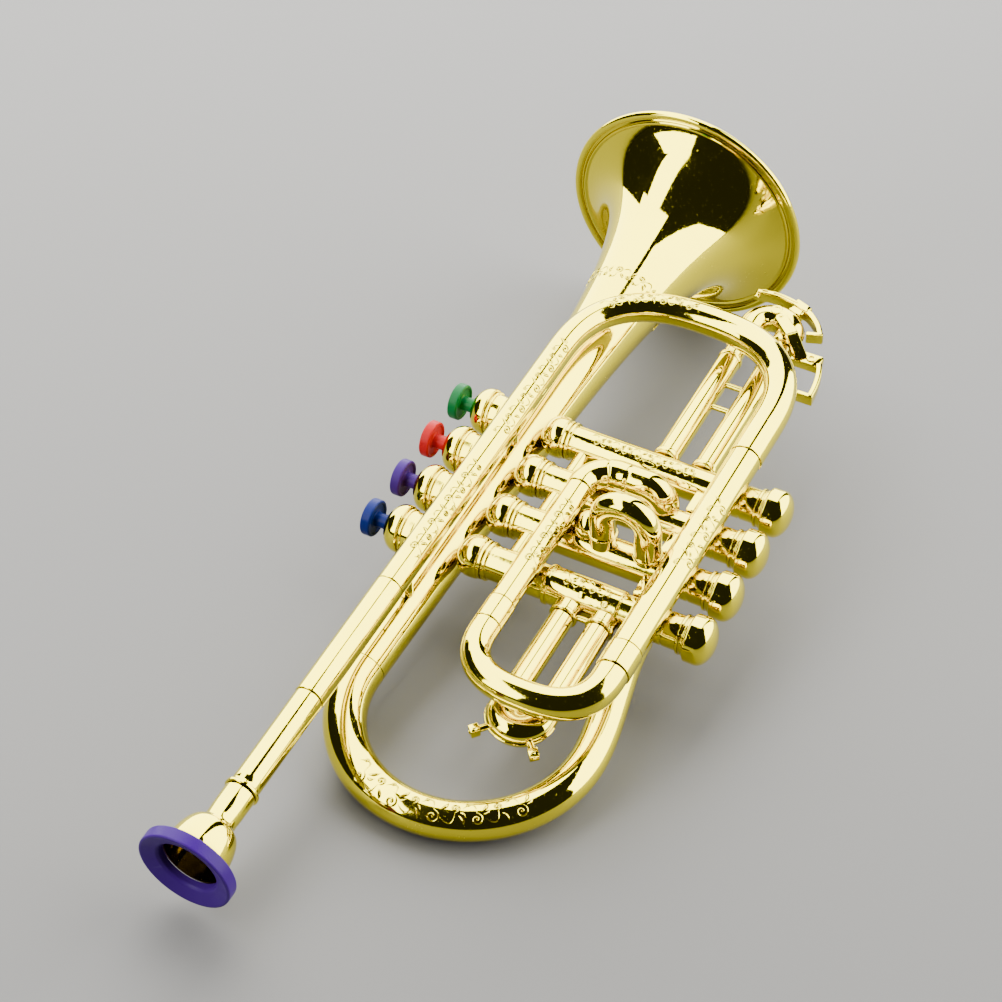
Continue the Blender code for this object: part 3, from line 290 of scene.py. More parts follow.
def turned(name, profile, origin, axis, steps, ease, closed=False, **dress):
    """Finished piece from one spun profile. The ease is the radius and steps for its corners."""
    bm = bmesh.new()
    lathe(bm, filleted(profile, *ease, closed), origin, axis, steps, closed)
    return finish_piece(name, bm, **dress)


def frame_at(point, tangent, normal, scale=1.0):
    """Matrix that lays a section, drawn in its XY plane, across a route."""
    side = tangent.cross(normal)
    turn = Matrix((normal * scale, side * scale, tangent)).transposed().to_4x4()
    turn.translation = point
    return turn


def sweep(bm, frames, section=None, steps=48):
    """Extrude a closed section through the frames and close its ends. It is a unit circle unless given."""
    if section is None:
        verts = bmesh.ops.create_circle(bm, radius=1, segments=steps, matrix=frames[0])["verts"]
        edges = list({e for v in verts for e in v.link_edges})
    else:
        verts = [bm.verts.new(frames[0] @ Vector((a, b, 0))) for a, b in section]
        edges = [bm.edges.new(pair) for pair in zip(verts, verts[1:] + verts[:1])]
    bmesh.ops.edgeloop_fill(bm, edges=edges)
    for before, after in zip(frames, frames[1:]):
        made = bmesh.ops.extrude_edge_only(bm, edges=edges)["geom"]
        verts = [g for g in made if isinstance(g, bmesh.types.BMVert)]
        edges = [g for g in made if isinstance(g, bmesh.types.BMEdge)]
        bmesh.ops.transform(bm, matrix=after @ before.inverted(), verts=verts)
    bmesh.ops.edgeloop_fill(bm, edges=edges)


def lengths(points):
    """Distance along a polyline to each point."""
    reach = [0.0]
    for a, b in zip(points, points[1:]):
        reach.append(reach[-1] + (b - a).length)
    return reach


class Route:
    """Smooth centre line with a radius along it, and a frame that keeps one side up."""

    def __init__(self, points, radii):
        self.points = [Vector(p) for p in points]
        self.radii = list(radii) if hasattr(radii, "__len__") else [radii] * len(self.points)
        self.reach = lengths(self.points)
        last = len(self.points) - 1
        self.tangents = [(self.points[min(k + 1, last)] - self.points[max(k - 1, 0)]).normalized()
                         for k in range(last + 1)]
        start = UP if abs(self.tangents[0].dot(UP)) < 0.8 else Vector((0, 1, 0))
        normal = (start - self.tangents[0] * start.dot(self.tangents[0])).normalized()
        self.normals = [normal]
        for a, b in zip(self.tangents, self.tangents[1:]):
            normal = a.rotation_difference(b) @ normal
            self.normals.append((normal - b * normal.dot(b)).normalized())

    def frame(self, k, radius, shift=0.0):
        """Matrix for a section at point k, scaled to the radius and moved on by the shift."""
        return frame_at(self.points[k] + self.tangents[k] * shift, self.tangents[k], self.normals[k], radius)

    def at(self, along, angle):
        """Point on the surface, by the distance along and the angle round, and the way out."""
        along = min(max(along, 0.0), self.reach[-1] - 1e-7)
        k = min(bisect_right(self.reach, along) - 1, len(self.points) - 2)
        t = (along - self.reach[k]) / (self.reach[k + 1] - self.reach[k])
        centre = self.points[k].lerp(self.points[k + 1], t)
        normal = self.normals[k].lerp(self.normals[k + 1], t).normalized()
        tangent = self.tangents[k].lerp(self.tangents[k + 1], t).normalized()
        radius = self.radii[k] + (self.radii[k + 1] - self.radii[k]) * t
        out = normal * cos(angle) + tangent.cross(normal) * sin(angle)
        return centre + out * radius, out


def tube(bm, route, steps=48, edge=0.00022, wall=0.0012, open_start=True, open_end=True):
    """Round tube along a route. Its ends are eased, and hollow where they are open."""
    first, last = route.radii[0], route.radii[-1]
    end = len(route.points) - 1
    bore, lip = [(wall, 6), (wall, 0)], [(edge, 0), (edge * 0.3, 0.3), (0, 1), (0, 1.6)]
    start, stop = bore * open_start + lip, bore * open_end + lip
    frames = [route.frame(0, first - drop, edge * shift) for drop, shift in start]
    frames += [route.frame(k, route.radii[k]) for k in range(1, end)]
    frames += [route.frame(end, last - drop, -edge * shift) for drop, shift in stop[::-1]]
    sweep(bm, frames, steps=steps)


def closed_tube(bm, route, steps, edge=0.00022):
    """Tube whose ends are shut."""
    tube(bm, route, steps, edge, open_start=False, open_end=False)


def tube_piece(name, route, steps, *replaces, open_end=True):
    """Finished piece that is one tube."""
    bm = bmesh.new()
    tube(bm, route, steps, open_end=open_end)
    finish_piece(name, bm, replaces=replaces)
    return route


def line_points(start, end, count):
    """Straight line as points."""
    a, b = Vector(start), Vector(end)
    return [a.lerp(b, k / count) for k in range(count + 1)]


def arc(centre, radius, start, end, count, first, second):
    """Part of a circle as points, turning from the first direction to the second."""
    first, second = Vector(first), Vector(second)
    return [Vector(centre) + first * (radius * cos(a)) + second * (radius * sin(a))
            for a in (start + (end - start) * k / count for k in range(count + 1))]


def resample(points, count):
    """Even spacing along a polyline."""
    reach = lengths(points)
    made = []
    k = 0
    for j in range(count + 1):
        s = reach[-1] * j / count
        while k < len(points) - 2 and reach[k + 1] < s:
            k += 1
        t = (s - reach[k]) / (reach[k + 1] - reach[k])
        made.append(points[k].lerp(points[k + 1], min(max(t, 0.0), 1.0)))
    return made


def rounded_bend(start, end, depth, count, direction, power=2.5):
    """Squarish half loop, sampled evenly enough for a smooth tube."""
    start, end = Vector(start), Vector(end)
    points = []
    for k in range(3 * count + 1):
        a = pi * k / (3 * count)
        across = abs(cos(a)) ** (2 / power) * (1 if cos(a) > 0 else -1)
        along = sin(a) ** (2 / power) if 0 < k < 3 * count else 0.0
        out = Vector((direction * depth * along, 0, 0))
        points.append((start + end) / 2 + (start - end) / 2 * across + out)
    return resample(points, count)


def soft_line(knots, steps=8):
    """Smooth line through the knots."""
    ends = [knots[0] * 2 - knots[1]] + knots + [knots[-1] * 2 - knots[-2]]
    made = []
    for a, b, c, d in zip(ends, ends[1:], ends[2:], ends[3:]):
        for k in range(steps):
            t = k / steps
            made.append((b * 2 + (c - a) * t + (a * 2 - b * 5 + c * 4 - d) * t * t
                         + (b * 3 - a - c * 3 + d) * t ** 3) / 2)
    return made + [knots[-1]]


def blend(a, b, count):
    """Even steps from a to b."""
    return [a + (b - a) * k / (count - 1) for k in range(count)]


def rod(bm, start, end, radius, steps=24, edge=0.00015):
    """Solid round bar with eased ends."""
    closed_tube(bm, Route(line_points(start, end, 3), radius), steps, edge)


def bar(bm, centre, size, angle=0.0, edge=0.2, turn=None):
    """Block with eased edges, turned about the vertical or laid by a matrix."""
    place = turn if turn is not None else Matrix.Translation(centre) @ Matrix.Rotation(angle, 4, "Z")
    cube = bmesh.ops.create_cube(bm, size=1, matrix=place @ Matrix.Diagonal((*size, 1)))["verts"]
    edges = list({e for v in cube for e in v.link_edges})
    bmesh.ops.bevel(bm, geom=edges, offset=min(size) * edge, segments=2, profile=0.5,
                    affect="EDGES", material=-1)


def strip(bm, line, thickness, height, z=0.0):
    """Flat bar that follows a line in plan, with eased long edges."""
    route = Route([(p[0], p[1], z) for p in line], 1.0)
    e = thickness * 0.28
    t, h = thickness / 2, height / 2
    near, far = e * 0.3, e
    section = [(h, -t + far), (h - near, -t + near), (h - far, -t),
               (-h + far, -t), (-h + near, -t + near), (-h, -t + far),
               (-h, t - far), (-h + near, t - near), (-h + far, t),
               (h - far, t), (h - near, t - near), (h, t - far)]
    sweep(bm, [route.frame(k, 1.0) for k in range(len(line))], section)


def band(bm, x, y, z, radius, width, rise, axis=AXIS_X):
    """Raised half-round band round a tube."""
    sunk, ease = 0.0002, (0.00015, 3)
    profile = [(radius - sunk, 0), (radius + rise * 0.7, width * 0.05), (radius + rise, width * 0.3),
               (radius + rise, width * 0.7), (radius + rise * 0.7, width * 0.95), (radius - sunk, width)]
    lathe(bm, filleted(profile, *ease), (x, y, z), axis, 64)


def straight_tube(name, x0, x1, y, z, stations, replaces):
    """Straight tube along X. The stations are (distance from x0, radius) pairs."""
    points = [Vector((x0 + d, y, z)) for d, _ in stations] + [Vector((x1, y, z))]
    last = stations[-1][1]
    tube_piece(name, Route(points, [r for _, r in stations] + [last]), 48, replaces)
    return Route(line_points((x0, y, z), (x1, y, z), 2), last)


# Raised lines

def wires(name, place, lines, mat=RELIEF, spread=1.0, rise=1.0):
    """Raised lines as one piece: round wires laid flat, then wrapped on the surface given by place(u, v)."""
    sunk = 0.00003
    curve = bpy.data.curves.new(name, "CURVE")
    curve.dimensions = "3D"
    curve.bevel_depth = 1.0
    curve.bevel_resolution = 2
    curve.use_fill_caps = True
    for line, thick, swell in lines:
        spline = curve.splines.new("POLY")
        spline.points.add(len(line) - 1)
        for k, (point, (u, v)) in enumerate(zip(spline.points, line)):
            t = k / (len(line) - 1)
            ease = min(1.0, 5.0 * t + 0.35, 5.0 * (1 - t) + 0.35)
            leaf = 0.25 + 0.75 * sin(pi * min(t * 1.15, 1.0)) ** 0.8
            full = ease * (1 - swell) + swell * leaf
            point.co = (u, v, 0, 1)
            point.radius = thick * full * spread
    holder = bpy.data.objects.new(name + "_curve", curve)
    mesh = bpy.data.meshes.new_from_object(holder)
    bpy.data.objects.remove(holder)
    bm = bmesh.new()
    bm.from_mesh(mesh)
    bpy.data.meshes.remove(mesh)
    for vert in bm.verts:
        point, out = place(vert.co.x, vert.co.y)
        vert.co = point + out * (vert.co.z * rise - sunk)
    return finish_piece(name, bm, mat)


def raised(name, place, lines, spread=2.0):
    """Bright raised lines over a wider, lower dark ribbon, a painted shadow that outlines each line, as a
    plated scroll looks.
    """
    wires(name, place, lines)
    wires(name + "_painted_shadow", place, lines, PAINTED_SHADOW_RIBBON, spread, rise=0.13)


def spaced(points, gap=0.0006):
    """Add points along a flat polyline so that no step is longer than the gap."""
    made = [points[0]]
    for a, b in zip(points, points[1:]):
        count = max(1, int(hypot(b[0] - a[0], b[1] - a[1]) / gap))
        made += [(a[0] + (b[0] - a[0]) * k / count, a[1] + (b[1] - a[1]) * k / count)
                 for k in range(1, count + 1)]
    return made


def bow_line(a, b, rise, count=8):
    """Flat arc from a to b, bulging by the rise to its left."""
    (ax, ay), (bx, by) = a, b
    dx, dy = bx - ax, by - ay
    span = hypot(dx, dy)
    nx, ny = -dy / span, dx / span
    return [(ax + dx * t + nx * rise * 4 * t * (1 - t), ay + dy * t + ny * rise * 4 * t * (1 - t))
            for t in (k / count for k in range(count + 1))]


def curl(cx, cy, radius, start, turns, hand, count=30):
    """Spiral that winds in to its centre, as flat points."""
    points = []
    for k in range(count + 1):
        t = k / count
        r = radius * (1 - 0.84 * t ** 0.85)
        a = start + hand * tau * turns * t
        points.append((cx + r * cos(a), cy + r * sin(a)))
    return points


def scroll(length, size, swing, fine=0.00022):
    """Scroll border laid flat: stem, curls, leaves and beads, each as (line, thickness, swell)."""
    dot = 0.00012
    count = max(2, round(length / (size * 3.0)))
    step = length / count
    lines = []
    for k in range(count):
        side = 1 if k % 2 == 0 else -1
        u = step * (k + 0.5)
        big = size * (1.0, 0.72, 0.90, 0.64)[k % 4]
        middle = side * (swing * 0.62)
        root, tip = (u - step * 0.62, -side * swing * 0.55), (u + big * 0.15, middle - side * big)
        lines.append((bow_line(root, tip, -side * swing * 0.9, 12), fine * 0.85, 0.35))
        eye = u + big * 0.1
        lines.append((curl(eye, middle, big, -side * pi / 2, 1.45, side, 40), fine, 0.12))
        lines.append(([(eye - dot, middle), (eye, middle), (eye + dot, middle)], fine * 1.7, 0.0))
        root, tip = (u + big * 0.9, -side * swing * 0.25), (u + big * 1.9, -side * (swing + big * 0.55))
        lines.append((bow_line(root, tip, side * big * 0.30), fine * 1.6, 1.0))
        if k % 3 != 1:
            root, tip = (u + big * 1.15, side * swing * 0.1), (u + big * 2.1, -side * swing * 0.35)
            lines.append((bow_line(root, tip, side * big * 0.22), fine * 1.3, 1.0))
        if k % 2 == 0:
            bead = (u - big * 1.15, -side * swing * 1.15)
            lines.append((circle_line(*bead, size * 0.26, size * 0.26, 12), fine * 0.8, 0.0))
    return lines


def circle_line(u, v, a, b, count=28):
    """Flat oval with half axes a and b."""
    return [(u + a * cos(tau * k / count), v + b * sin(tau * k / count)) for k in range(count + 1)]


def on_route(route, start, angle, hand=1):
    """Place for flat lines on a tube: u along it from the start, v round it from the angle."""
    radius = route.radii[len(route.radii) // 2]
    return lambda u, v: route.at(start + u, angle + hand * v / radius)


# Bell, with its rolled rim

BELL_BACK = -0.0850
BELL_HORN, BELL_FLARE, BELL_POWER = 0.0488, 0.0110, 0.62
BELL_TUBE, BELL_BORE, BELL_WALL = 0.0060, 0.0047, 0.0013


def bell_radius(x):
    """Radius outside at x: a flare that eases into a straight tube."""
    horn = BELL_HORN * (BELL_FLARE / (BELL_X - x + BELL_FLARE)) ** BELL_POWER
    return (horn ** 4 + BELL_TUBE ** 4) ** 0.25


def bell_lining(radius, height):
    """Point inside the bell for one outside it."""
    lean, narrow, wide = 0.0009, 0.012, 0.03
    shift = lean if radius > wide else lean * max(0.0, (radius - narrow) / 0.018)
    return max(radius - BELL_WALL, BELL_BORE), min(height + shift, -0.0008)


def make_bell():
    front, back = 0.0024, BELL_X - BELL_BACK
    outer = []
    for k in range(121):
        u = front + (back - front) * (k / 120) ** 2.3
        outer.append((bell_radius(BELL_X - u), -u))
    inner = [bell_lining(r, h) for r, h in outer]
    ring = [(0.0436, -0.0027), (0.0439, -0.0029), (0.0443, -0.0028), (0.0446, -0.0024), (0.0448, -0.0020)]
    groove = [(0.0453, -0.0017), (0.0458, -0.0017)]
    roll = [(0.0473 + 0.0015 * cos(a), -0.0015 - 0.0015 * sin(a))
            for a in (pi * (0.93 - 1.70 * k / 22) for k in range(23))]
    face = [(0.0459, -0.0005), (0.0450, -0.0006)]
    outer = [p for p in outer if p[0] < 0.0431]
    inner = [p for p in inner if p[0] < 0.0425]
    bm = bmesh.new()
    profile = outer[::-1] + ring + groove + roll + face + inner
    lathe(bm, profile, (BELL_X, BELL_Y, BELL_Z), AXIS_X, 176, closed=True)
    finish_piece("bell_shell", bm, replaces=("bell",))


make_bell()


# Rear bow

BOW_X, BOW_STUB, BOW_RADIUS, BOW_LIFT = -0.0853, 0.0014, 0.0420, 0.0060


def make_bow():
    """Fat tube from the bell tube to the rear casing, rising and narrowing on its last leg."""
    bend_x, centre_y = BOW_X - BOW_STUB, BELL_Y - BOW_RADIUS
    points = [Vector((BOW_X, BELL_Y, BELL_Z))]
    points += arc((bend_x, centre_y, BELL_Z), BOW_RADIUS, pi / 2, 3 * pi / 2, 56, AXIS_X, AXIS_Y)
    run = VALVE_X[3] - 0.0060 - BOW_X + BOW_STUB
    for k in range(1, 21):
        t = k / 20
        lift = BOW_LIFT * (t * t * (3 - 2 * t))
        points.append(Vector((bend_x + run * t, centre_y - BOW_RADIUS + lift, BELL_Z + lift)))
    points = resample(points, 96)
    radii = blend(0.0077, 0.0066, 44) + blend(0.0066, 0.0060, len(points) - 44)
    return tube_piece("rear_bow_tube", Route(points, radii), 60, "rear_bow", open_end=False)


bow_route = make_bow()


# Mouthpiece and lead pipe

RING_FACE, RING_DEPTH, RING_RADIUS, RING_BORE = -0.1928, 0.0045, 0.0162, 0.0102
CUP_RADIUS, CUP_SEAT, CUP_DEPTH = 0.0107, 0.0098, 0.0132
NECK_RADIUS, SHANK_RADIUS, SHANK_BORE, SHANK_RUN = 0.0060, 0.0038, 0.0026, 0.0088
RECEIVER_FACE = -0.1603


def make_mouthpiece():
    """Purple ring, then the cup with its neck and hollow shank."""
    ring = [(RING_BORE, 0.0024), (0.0110, 0.0016), (0.0154, 0.0), (0.0160, 0.0001), (RING_RADIUS, 0.0005),
            (RING_RADIUS, 0.0042), (0.0160, RING_DEPTH), (0.0099, RING_DEPTH)]
    turned("mouthpiece_ring", ring, (RING_FACE, LEAD_Y, LEAD_Z), AXIS_X, 128, (0.0003, 4), True,
           mat=PLASTICS["purple"], slot="purple_plastic", replaces=("mouthpiece_rim",))
    run = -RING_FACE - RING_DEPTH - GAP + RECEIVER_FACE
    rim = 0.0006
    cup = [(CUP_SEAT, 0.0), (CUP_RADIUS, 0.0), (CUP_RADIUS, rim)]
    for k in range(1, 18):
        a = pi / 2 * k / 18
        cup.append((NECK_RADIUS + (CUP_RADIUS - NECK_RADIUS) * cos(a) ** 0.95, rim + CUP_DEPTH * sin(a)))
    neck = [(0.0061, 0.0141), (0.0056, 0.0147), (0.0053, 0.0158), (0.0052, 0.0172), (0.0053, 0.0200),
            (0.0054, run - 0.0006), (0.0053, run)]
    tip = run + SHANK_RUN
    shank = [(SHANK_RADIUS, run), (SHANK_RADIUS, tip), (SHANK_BORE, tip), (SHANK_BORE, 0.0120)]
    lining = []
    for k in range(18, -1, -1):
        a = pi / 2 * k / 18
        lining.append((SHANK_BORE + (CUP_SEAT - SHANK_BORE) * cos(a), 0.0112 * sin(a)))
    seat = (RING_FACE + RING_DEPTH + GAP, LEAD_Y, LEAD_Z)
    turned("mouthpiece_cup_shell", cup + neck + shank + lining, seat, AXIS_X, 112, (0.0003, 3), True,
           mat=CUP_GOLD, replaces=("mouthpiece_cup",))


make_mouthpiece()
RECEIVER = [(0, 0.0060), (0.0010, 0.0060), (0.0014, 0.0057), (0.0018, 0.0050),
                     (0.0024, 0.0049), (0.0028, 0.0050), (0.0050, 0.0050)]
straight_tube("receiver_tube", RECEIVER_FACE + GAP, -0.1193, LEAD_Y, LEAD_Z, RECEIVER, "receiver")
straight_tube("middle_tube", -0.1190, -0.0673, LEAD_Y, LEAD_Z, [(0, 0.0052)], "middle_pipe")


# Tube loop

LEAD_RADIUS, RETURN_RADIUS, SHORT_RADIUS = 0.0051, 0.0061, 0.0050
UPPER_BEND_X, UPPER_BEND_DEPTH = 0.0574, 0.0396
LOWER_BEND_X, LOWER_BEND_DEPTH = -0.0674, 0.0196


def ferruled(radius):
    """Stations of a tube that starts in a thicker ferrule, with a groove after it."""
    return [(0, radius), (0.0094, radius), (0.0096, radius - 0.0002), (0.0097, radius - 0.0006),
            (0.0100, radius - 0.0006), (0.0101, radius - 0.0003), (0.0110, radius - 0.0003)]


def make_upper_bend():
    """Lead pipe and the big squarish bend, as one tube that widens in the bend."""
    start, end = (UPPER_BEND_X, LEAD_Y, LEAD_Z), (UPPER_BEND_X, RETURN_Y, LOOP_Z)
    bend = rounded_bend(start, end, UPPER_BEND_DEPTH, 100, 1)
    lead = line_points((-0.0670, LEAD_Y, LEAD_Z), (0.0560, LEAD_Y, LEAD_Z), 8)
    back = line_points((0.0560, RETURN_Y, LOOP_Z), (0.0395, RETURN_Y, LOOP_Z), 4)
    radii = [LEAD_RADIUS] * 9 + blend(LEAD_RADIUS, RETURN_RADIUS, 101) + [RETURN_RADIUS] * 5
    return tube_piece("lead_and_upper_bend", Route(lead + bend + back, radii), 56, "lead_pipe", "upper_bend")


def make_lower_bend():
    start, end = (LOWER_BEND_X, RETURN_Y, LOOP_Z), (LOWER_BEND_X, SHORT_Y, LOOP_Z)
    bend = rounded_bend(start, end, LOWER_BEND_DEPTH, 80, -1)
    bend = [Vector((-0.0660, RETURN_Y, LOOP_Z))] + bend + [Vector((-0.0660, SHORT_Y, LOOP_Z))]
    tube_piece("lower_bend_tube", Route(bend, blend(0.0057, 0.0050, len(bend))), 56, "lower_bend")


def make_small_bend():
    """Quarter turn from the short tube, then down into the second casing, with two seams."""
    flat, fall = 0.0104, 0.0075
    turn = [Vector((0.0016, SHORT_Y, LOOP_Z))]
    turn += arc((0.0030, SHORT_Y - flat, LOOP_Z), flat, pi / 2, 0, 26, AXIS_X, AXIS_Y)
    drop = arc((0.0134, -0.0150, LOOP_Z - fall), fall, pi / 2, pi, 22, AXIS_Y, AXIS_Z)
    points = resample(turn + drop + [drop[-1] - Vector((0, 0, 0.0014))], 90)
    radii = blend(SHORT_RADIUS, 0.0052, len(points))
    for seam in (0.33, 0.52):
        k = round(seam * len(points))
        radii[k] -= 0.00035
        radii[k - 1] -= 0.00012
        radii[k + 1] -= 0.00012
    tube_piece("small_bend_tube", Route(points, radii), 52, "small_bend", open_end=False)


upper_route = make_upper_bend()
return_route = straight_tube("return_tube_long", -0.0657, 0.0392, RETURN_Y, LOOP_Z, ferruled(RETURN_RADIUS),
                             "return_tube")
make_lower_bend()
short_route = straight_tube("short_tube_long", -0.0657, 0.0013, SHORT_Y, LOOP_Z, ferruled(SHORT_RADIUS),
                            "short_tube")
make_small_bend()


# Valve set, turned from (radius, height) profiles

HEAD_TOP, HEAD_RADIUS, HEAD_CROWN = 0.0338, 0.0076, 0.0060
CASING_RADIUS, REAR_RADIUS, CASING_END = 0.0062, 0.0068, -0.0500
FOOT_RADIUS, FOOT_CROWN, FOOT_SHOULDER = 0.0085, 0.0050, -0.0573
DOME_RADIUS, DOME_INSIDE, DOME_Y, STEM_HOLE = 0.0087, 0.0075, 0.0563, 0.0029
STEM_RADIUS, DISC_RADIUS, DISC_TOP, FLANGE_RADIUS = 0.0026, 0.0067, 0.0700, 0.0039


def crown(radius, rise, y, steps, start=0.0):
    """Quarter oval, from the axis or a starting angle out to the radius."""
    turns = (start + (pi / 2 - start) * k / steps for k in range(steps + 1))
    return [(radius * sin(a), y + rise * cos(a)) for a in turns]


def step_rings(outer, top, width, space, high, low, count):
    """Add raised rings to a profile, from the top down."""
    y = top
    for _ in range(count):
        outer += [(high, y), (high, y - width), (low, y - width)]
        y -= width + space
        outer.append((low, y))


def make_casing(i, centre):
    """Round head, double ring and bored tube. The rear one is wider, under a collar."""
    head = crown(HEAD_RADIUS, HEAD_CROWN, HEAD_TOP - HEAD_CROWN, 20)
    head += [(HEAD_RADIUS, HEAD_TOP - 0.0074), (0.0074, HEAD_TOP - 0.0090), (0.0067, HEAD_TOP - 0.0096)]
    step_rings(head, HEAD_TOP - 0.0097, 0.0011, 0.0006, 0.0070, CASING_RADIUS, 2)
    if i == 3:
        head += [(CASING_RADIUS, -0.0001), (0.0067, -0.0002), (0.0072, -0.0006), (0.0072, -0.0018),
                 (REAR_RADIUS, -0.0023), (REAR_RADIUS, -0.0276), (CASING_RADIUS, -0.0284)]
    head += [(CASING_RADIUS, -0.0440), (0.0059, -0.0442), (0.0059, -0.0448), (CASING_RADIUS, -0.0450),
             (CASING_RADIUS, CASING_END), (0.0049, CASING_END), (0.0049, -0.0480), (0.0, -0.0480)]
    turned(f"casing_{i + 1}", head, centre, AXIS_Y, 88, (0.00025, 4), replaces=(f"valve_casing_{i + 1}",))


def make_links(i):
    """Short bars from a casing to the next one."""
    x, end = VALVE_X[i], VALVE_X[i + 1] + 0.0066
    middle, reach = (x + end - 0.0059) / 2, x - end - 0.0048
    bm = bmesh.new()
    rod(bm, (x - 0.0055, 0.0155, 0), (end - 0.0006, 0.0155, 0), 0.0027, 36)
    bar(bm, (middle, -0.0316, 0.0012), (reach, 0.0055, 0.0052), edge=0.12)
    if i == 0:
        bar(bm, (middle, 0.0068, 0.0022), (reach, 0.0042, 0.0022), edge=0.2)
    finish_piece(f"casing_links_{i + 1}", bm)


def make_foot(k, centre):
    """Bottom cap: two bands, wide cap and low crown."""
    foot = [(0.0, -0.0470), (0.0046, -0.0470), (0.0046, -0.0503), (0.0071, -0.0503), (0.0071, -0.0512),
            (0.0065, -0.0512), (0.0065, -0.0521), (0.0071, -0.0521), (0.0071, -0.0530), (0.0079, -0.0531),
            (FOOT_RADIUS, -0.0536)]
    foot += crown(FOOT_RADIUS, -FOOT_CROWN, FOOT_SHOULDER, 16)[::-1]
    turned(f"foot_cap_{k}", foot, centre, AXIS_Y, 88, (0.00022, 4), replaces=(f"bottom_cap_{k}",))


def make_dome(k, centre):
    """Hollow domed cap with bands, and a hole for the stem."""
    start = asin(STEM_HOLE / DOME_RADIUS)
    cap = crown(DOME_RADIUS, 0.0062, DOME_Y, 20, start)
    cap += [(DOME_RADIUS, 0.0553), (0.0084, 0.0549), (0.0075, 0.0549), (0.0075, 0.0542), (0.0081, 0.0542),
            (0.0081, 0.0535), (0.0075, 0.0535), (0.0074, 0.0505), (0.0076, 0.0500), (0.0076, 0.0492),
            (0.0063, 0.0492), (0.0063, 0.0549)]
    cap += crown(DOME_INSIDE, 0.0050, DOME_Y, 12, start)[::-1]
    turned(f"cap_{k}", cap, centre, AXIS_Y, 88, (0.00022, 3), True, replaces=(f"button_cap_{k}",))


def make_neck(k, centre):
    """Plug under the dome, standing on the bell tube."""
    bore = 0.0016
    neck = [(bore, 0.0523), (0.0060, 0.0523), (0.0060, 0.0497), (0.0052, 0.0496), (0.0050, 0.0480),
            (0.0054, 0.0462), (0.0056, 0.0440), (bore, 0.0440)]
    turned(f"neck_{k}", neck, centre, AXIS_Y, 64, (0.0004, 3), True, replaces=(f"cap_neck_{k}",))


def make_button(colour, centre):
    """Dished disc, stem, flange and the end of the spindle."""
    button = [(0.0, 0.0697), (0.0048, 0.0697), (0.0056, DISC_TOP), (0.0063, DISC_TOP), (DISC_RADIUS, 0.0696),
              (DISC_RADIUS, 0.0667), (0.0063, 0.0663), (0.0057, 0.0663), (0.0055, 0.0669), (0.0034, 0.0670),
              (0.0027, 0.0667), (STEM_RADIUS, 0.0655), (STEM_RADIUS, 0.0602), (FLANGE_RADIUS, 0.0602),
              (FLANGE_RADIUS, 0.0590), (0.0014, 0.0590), (0.0014, 0.0588), (0.0, 0.0588)]
    turned(f"{colour}_button_cap", button, centre, AXIS_Y, 96, (0.00035, 4), mat=PLASTICS[colour],
           slot=f"{colour}_plastic", body=f"{colour}_button", replaces=(f"button_{colour}",))


for valve, colour in enumerate(COLOURS):
    place = (VALVE_X[valve], 0, 0)
    make_casing(valve, place)
    if valve < 3:
        make_links(valve)
    make_foot(valve + 1, place)
    make_dome(valve + 1, place)
    make_neck(valve + 1, place)
    make_button(colour, place)


# Slides and their hooks

SLEEVE_RADIUS, BOSS_RADIUS, BRACE_RADIUS = 0.0044, 0.0048, 0.0011
FRONT_THIN, REAR_THIN, SLIDE_FAT = 0.0038, 0.0043, 0.0051
FRONT_BOW_X, REAR_BOW_X = 0.1145, -0.0855
BEAD_RADIUS = 0.00035


def slide_loop(bm, start_x, bow_x, ys, direction, thin, fat):
    """Two thin legs and a fatter return bow, in one sweep."""
    half, middle = (ys[0] - ys[1]) / 2, (ys[0] + ys[1]) / 2
    turn = arc((bow_x, middle, 0), half, pi / 2, -pi / 2, 36, (direction, 0, 0), AXIS_Y)
    legs = []
    for end in (turn[0], turn[-1]):
        shoulder = [end - Vector((direction * fat * s, 0, 0)) for s in (1.28, 1.22, 1.12, 1.0)]
        legs.append([Vector((start_x, end.y, 0))] + shoulder)
    points = legs[0] + turn + legs[1][::-1]
    radii = [thin, thin, fat * 0.93, fat * 0.99, fat]
    closed_tube(bm, Route(points, radii + [fat] * len(turn) + radii[::-1]), 52)


def parting_bead(bm, bow_x, middle, radius, direction):
    """Thin bead round a return bow."""
    rim = arc((bow_x, middle, 0), radius, pi / 2, -pi / 2, 40, (direction, 0, 0), AXIS_Y)
    closed_tube(bm, Route(rim, BEAD_RADIUS), 12, 0.0001)


def brace(bm, x, ys):
    """Round bar between two sleeves."""
    rod(bm, (x, ys[0] - 0.0040, 0), (x, ys[1] + 0.0040, 0), BRACE_RADIUS)


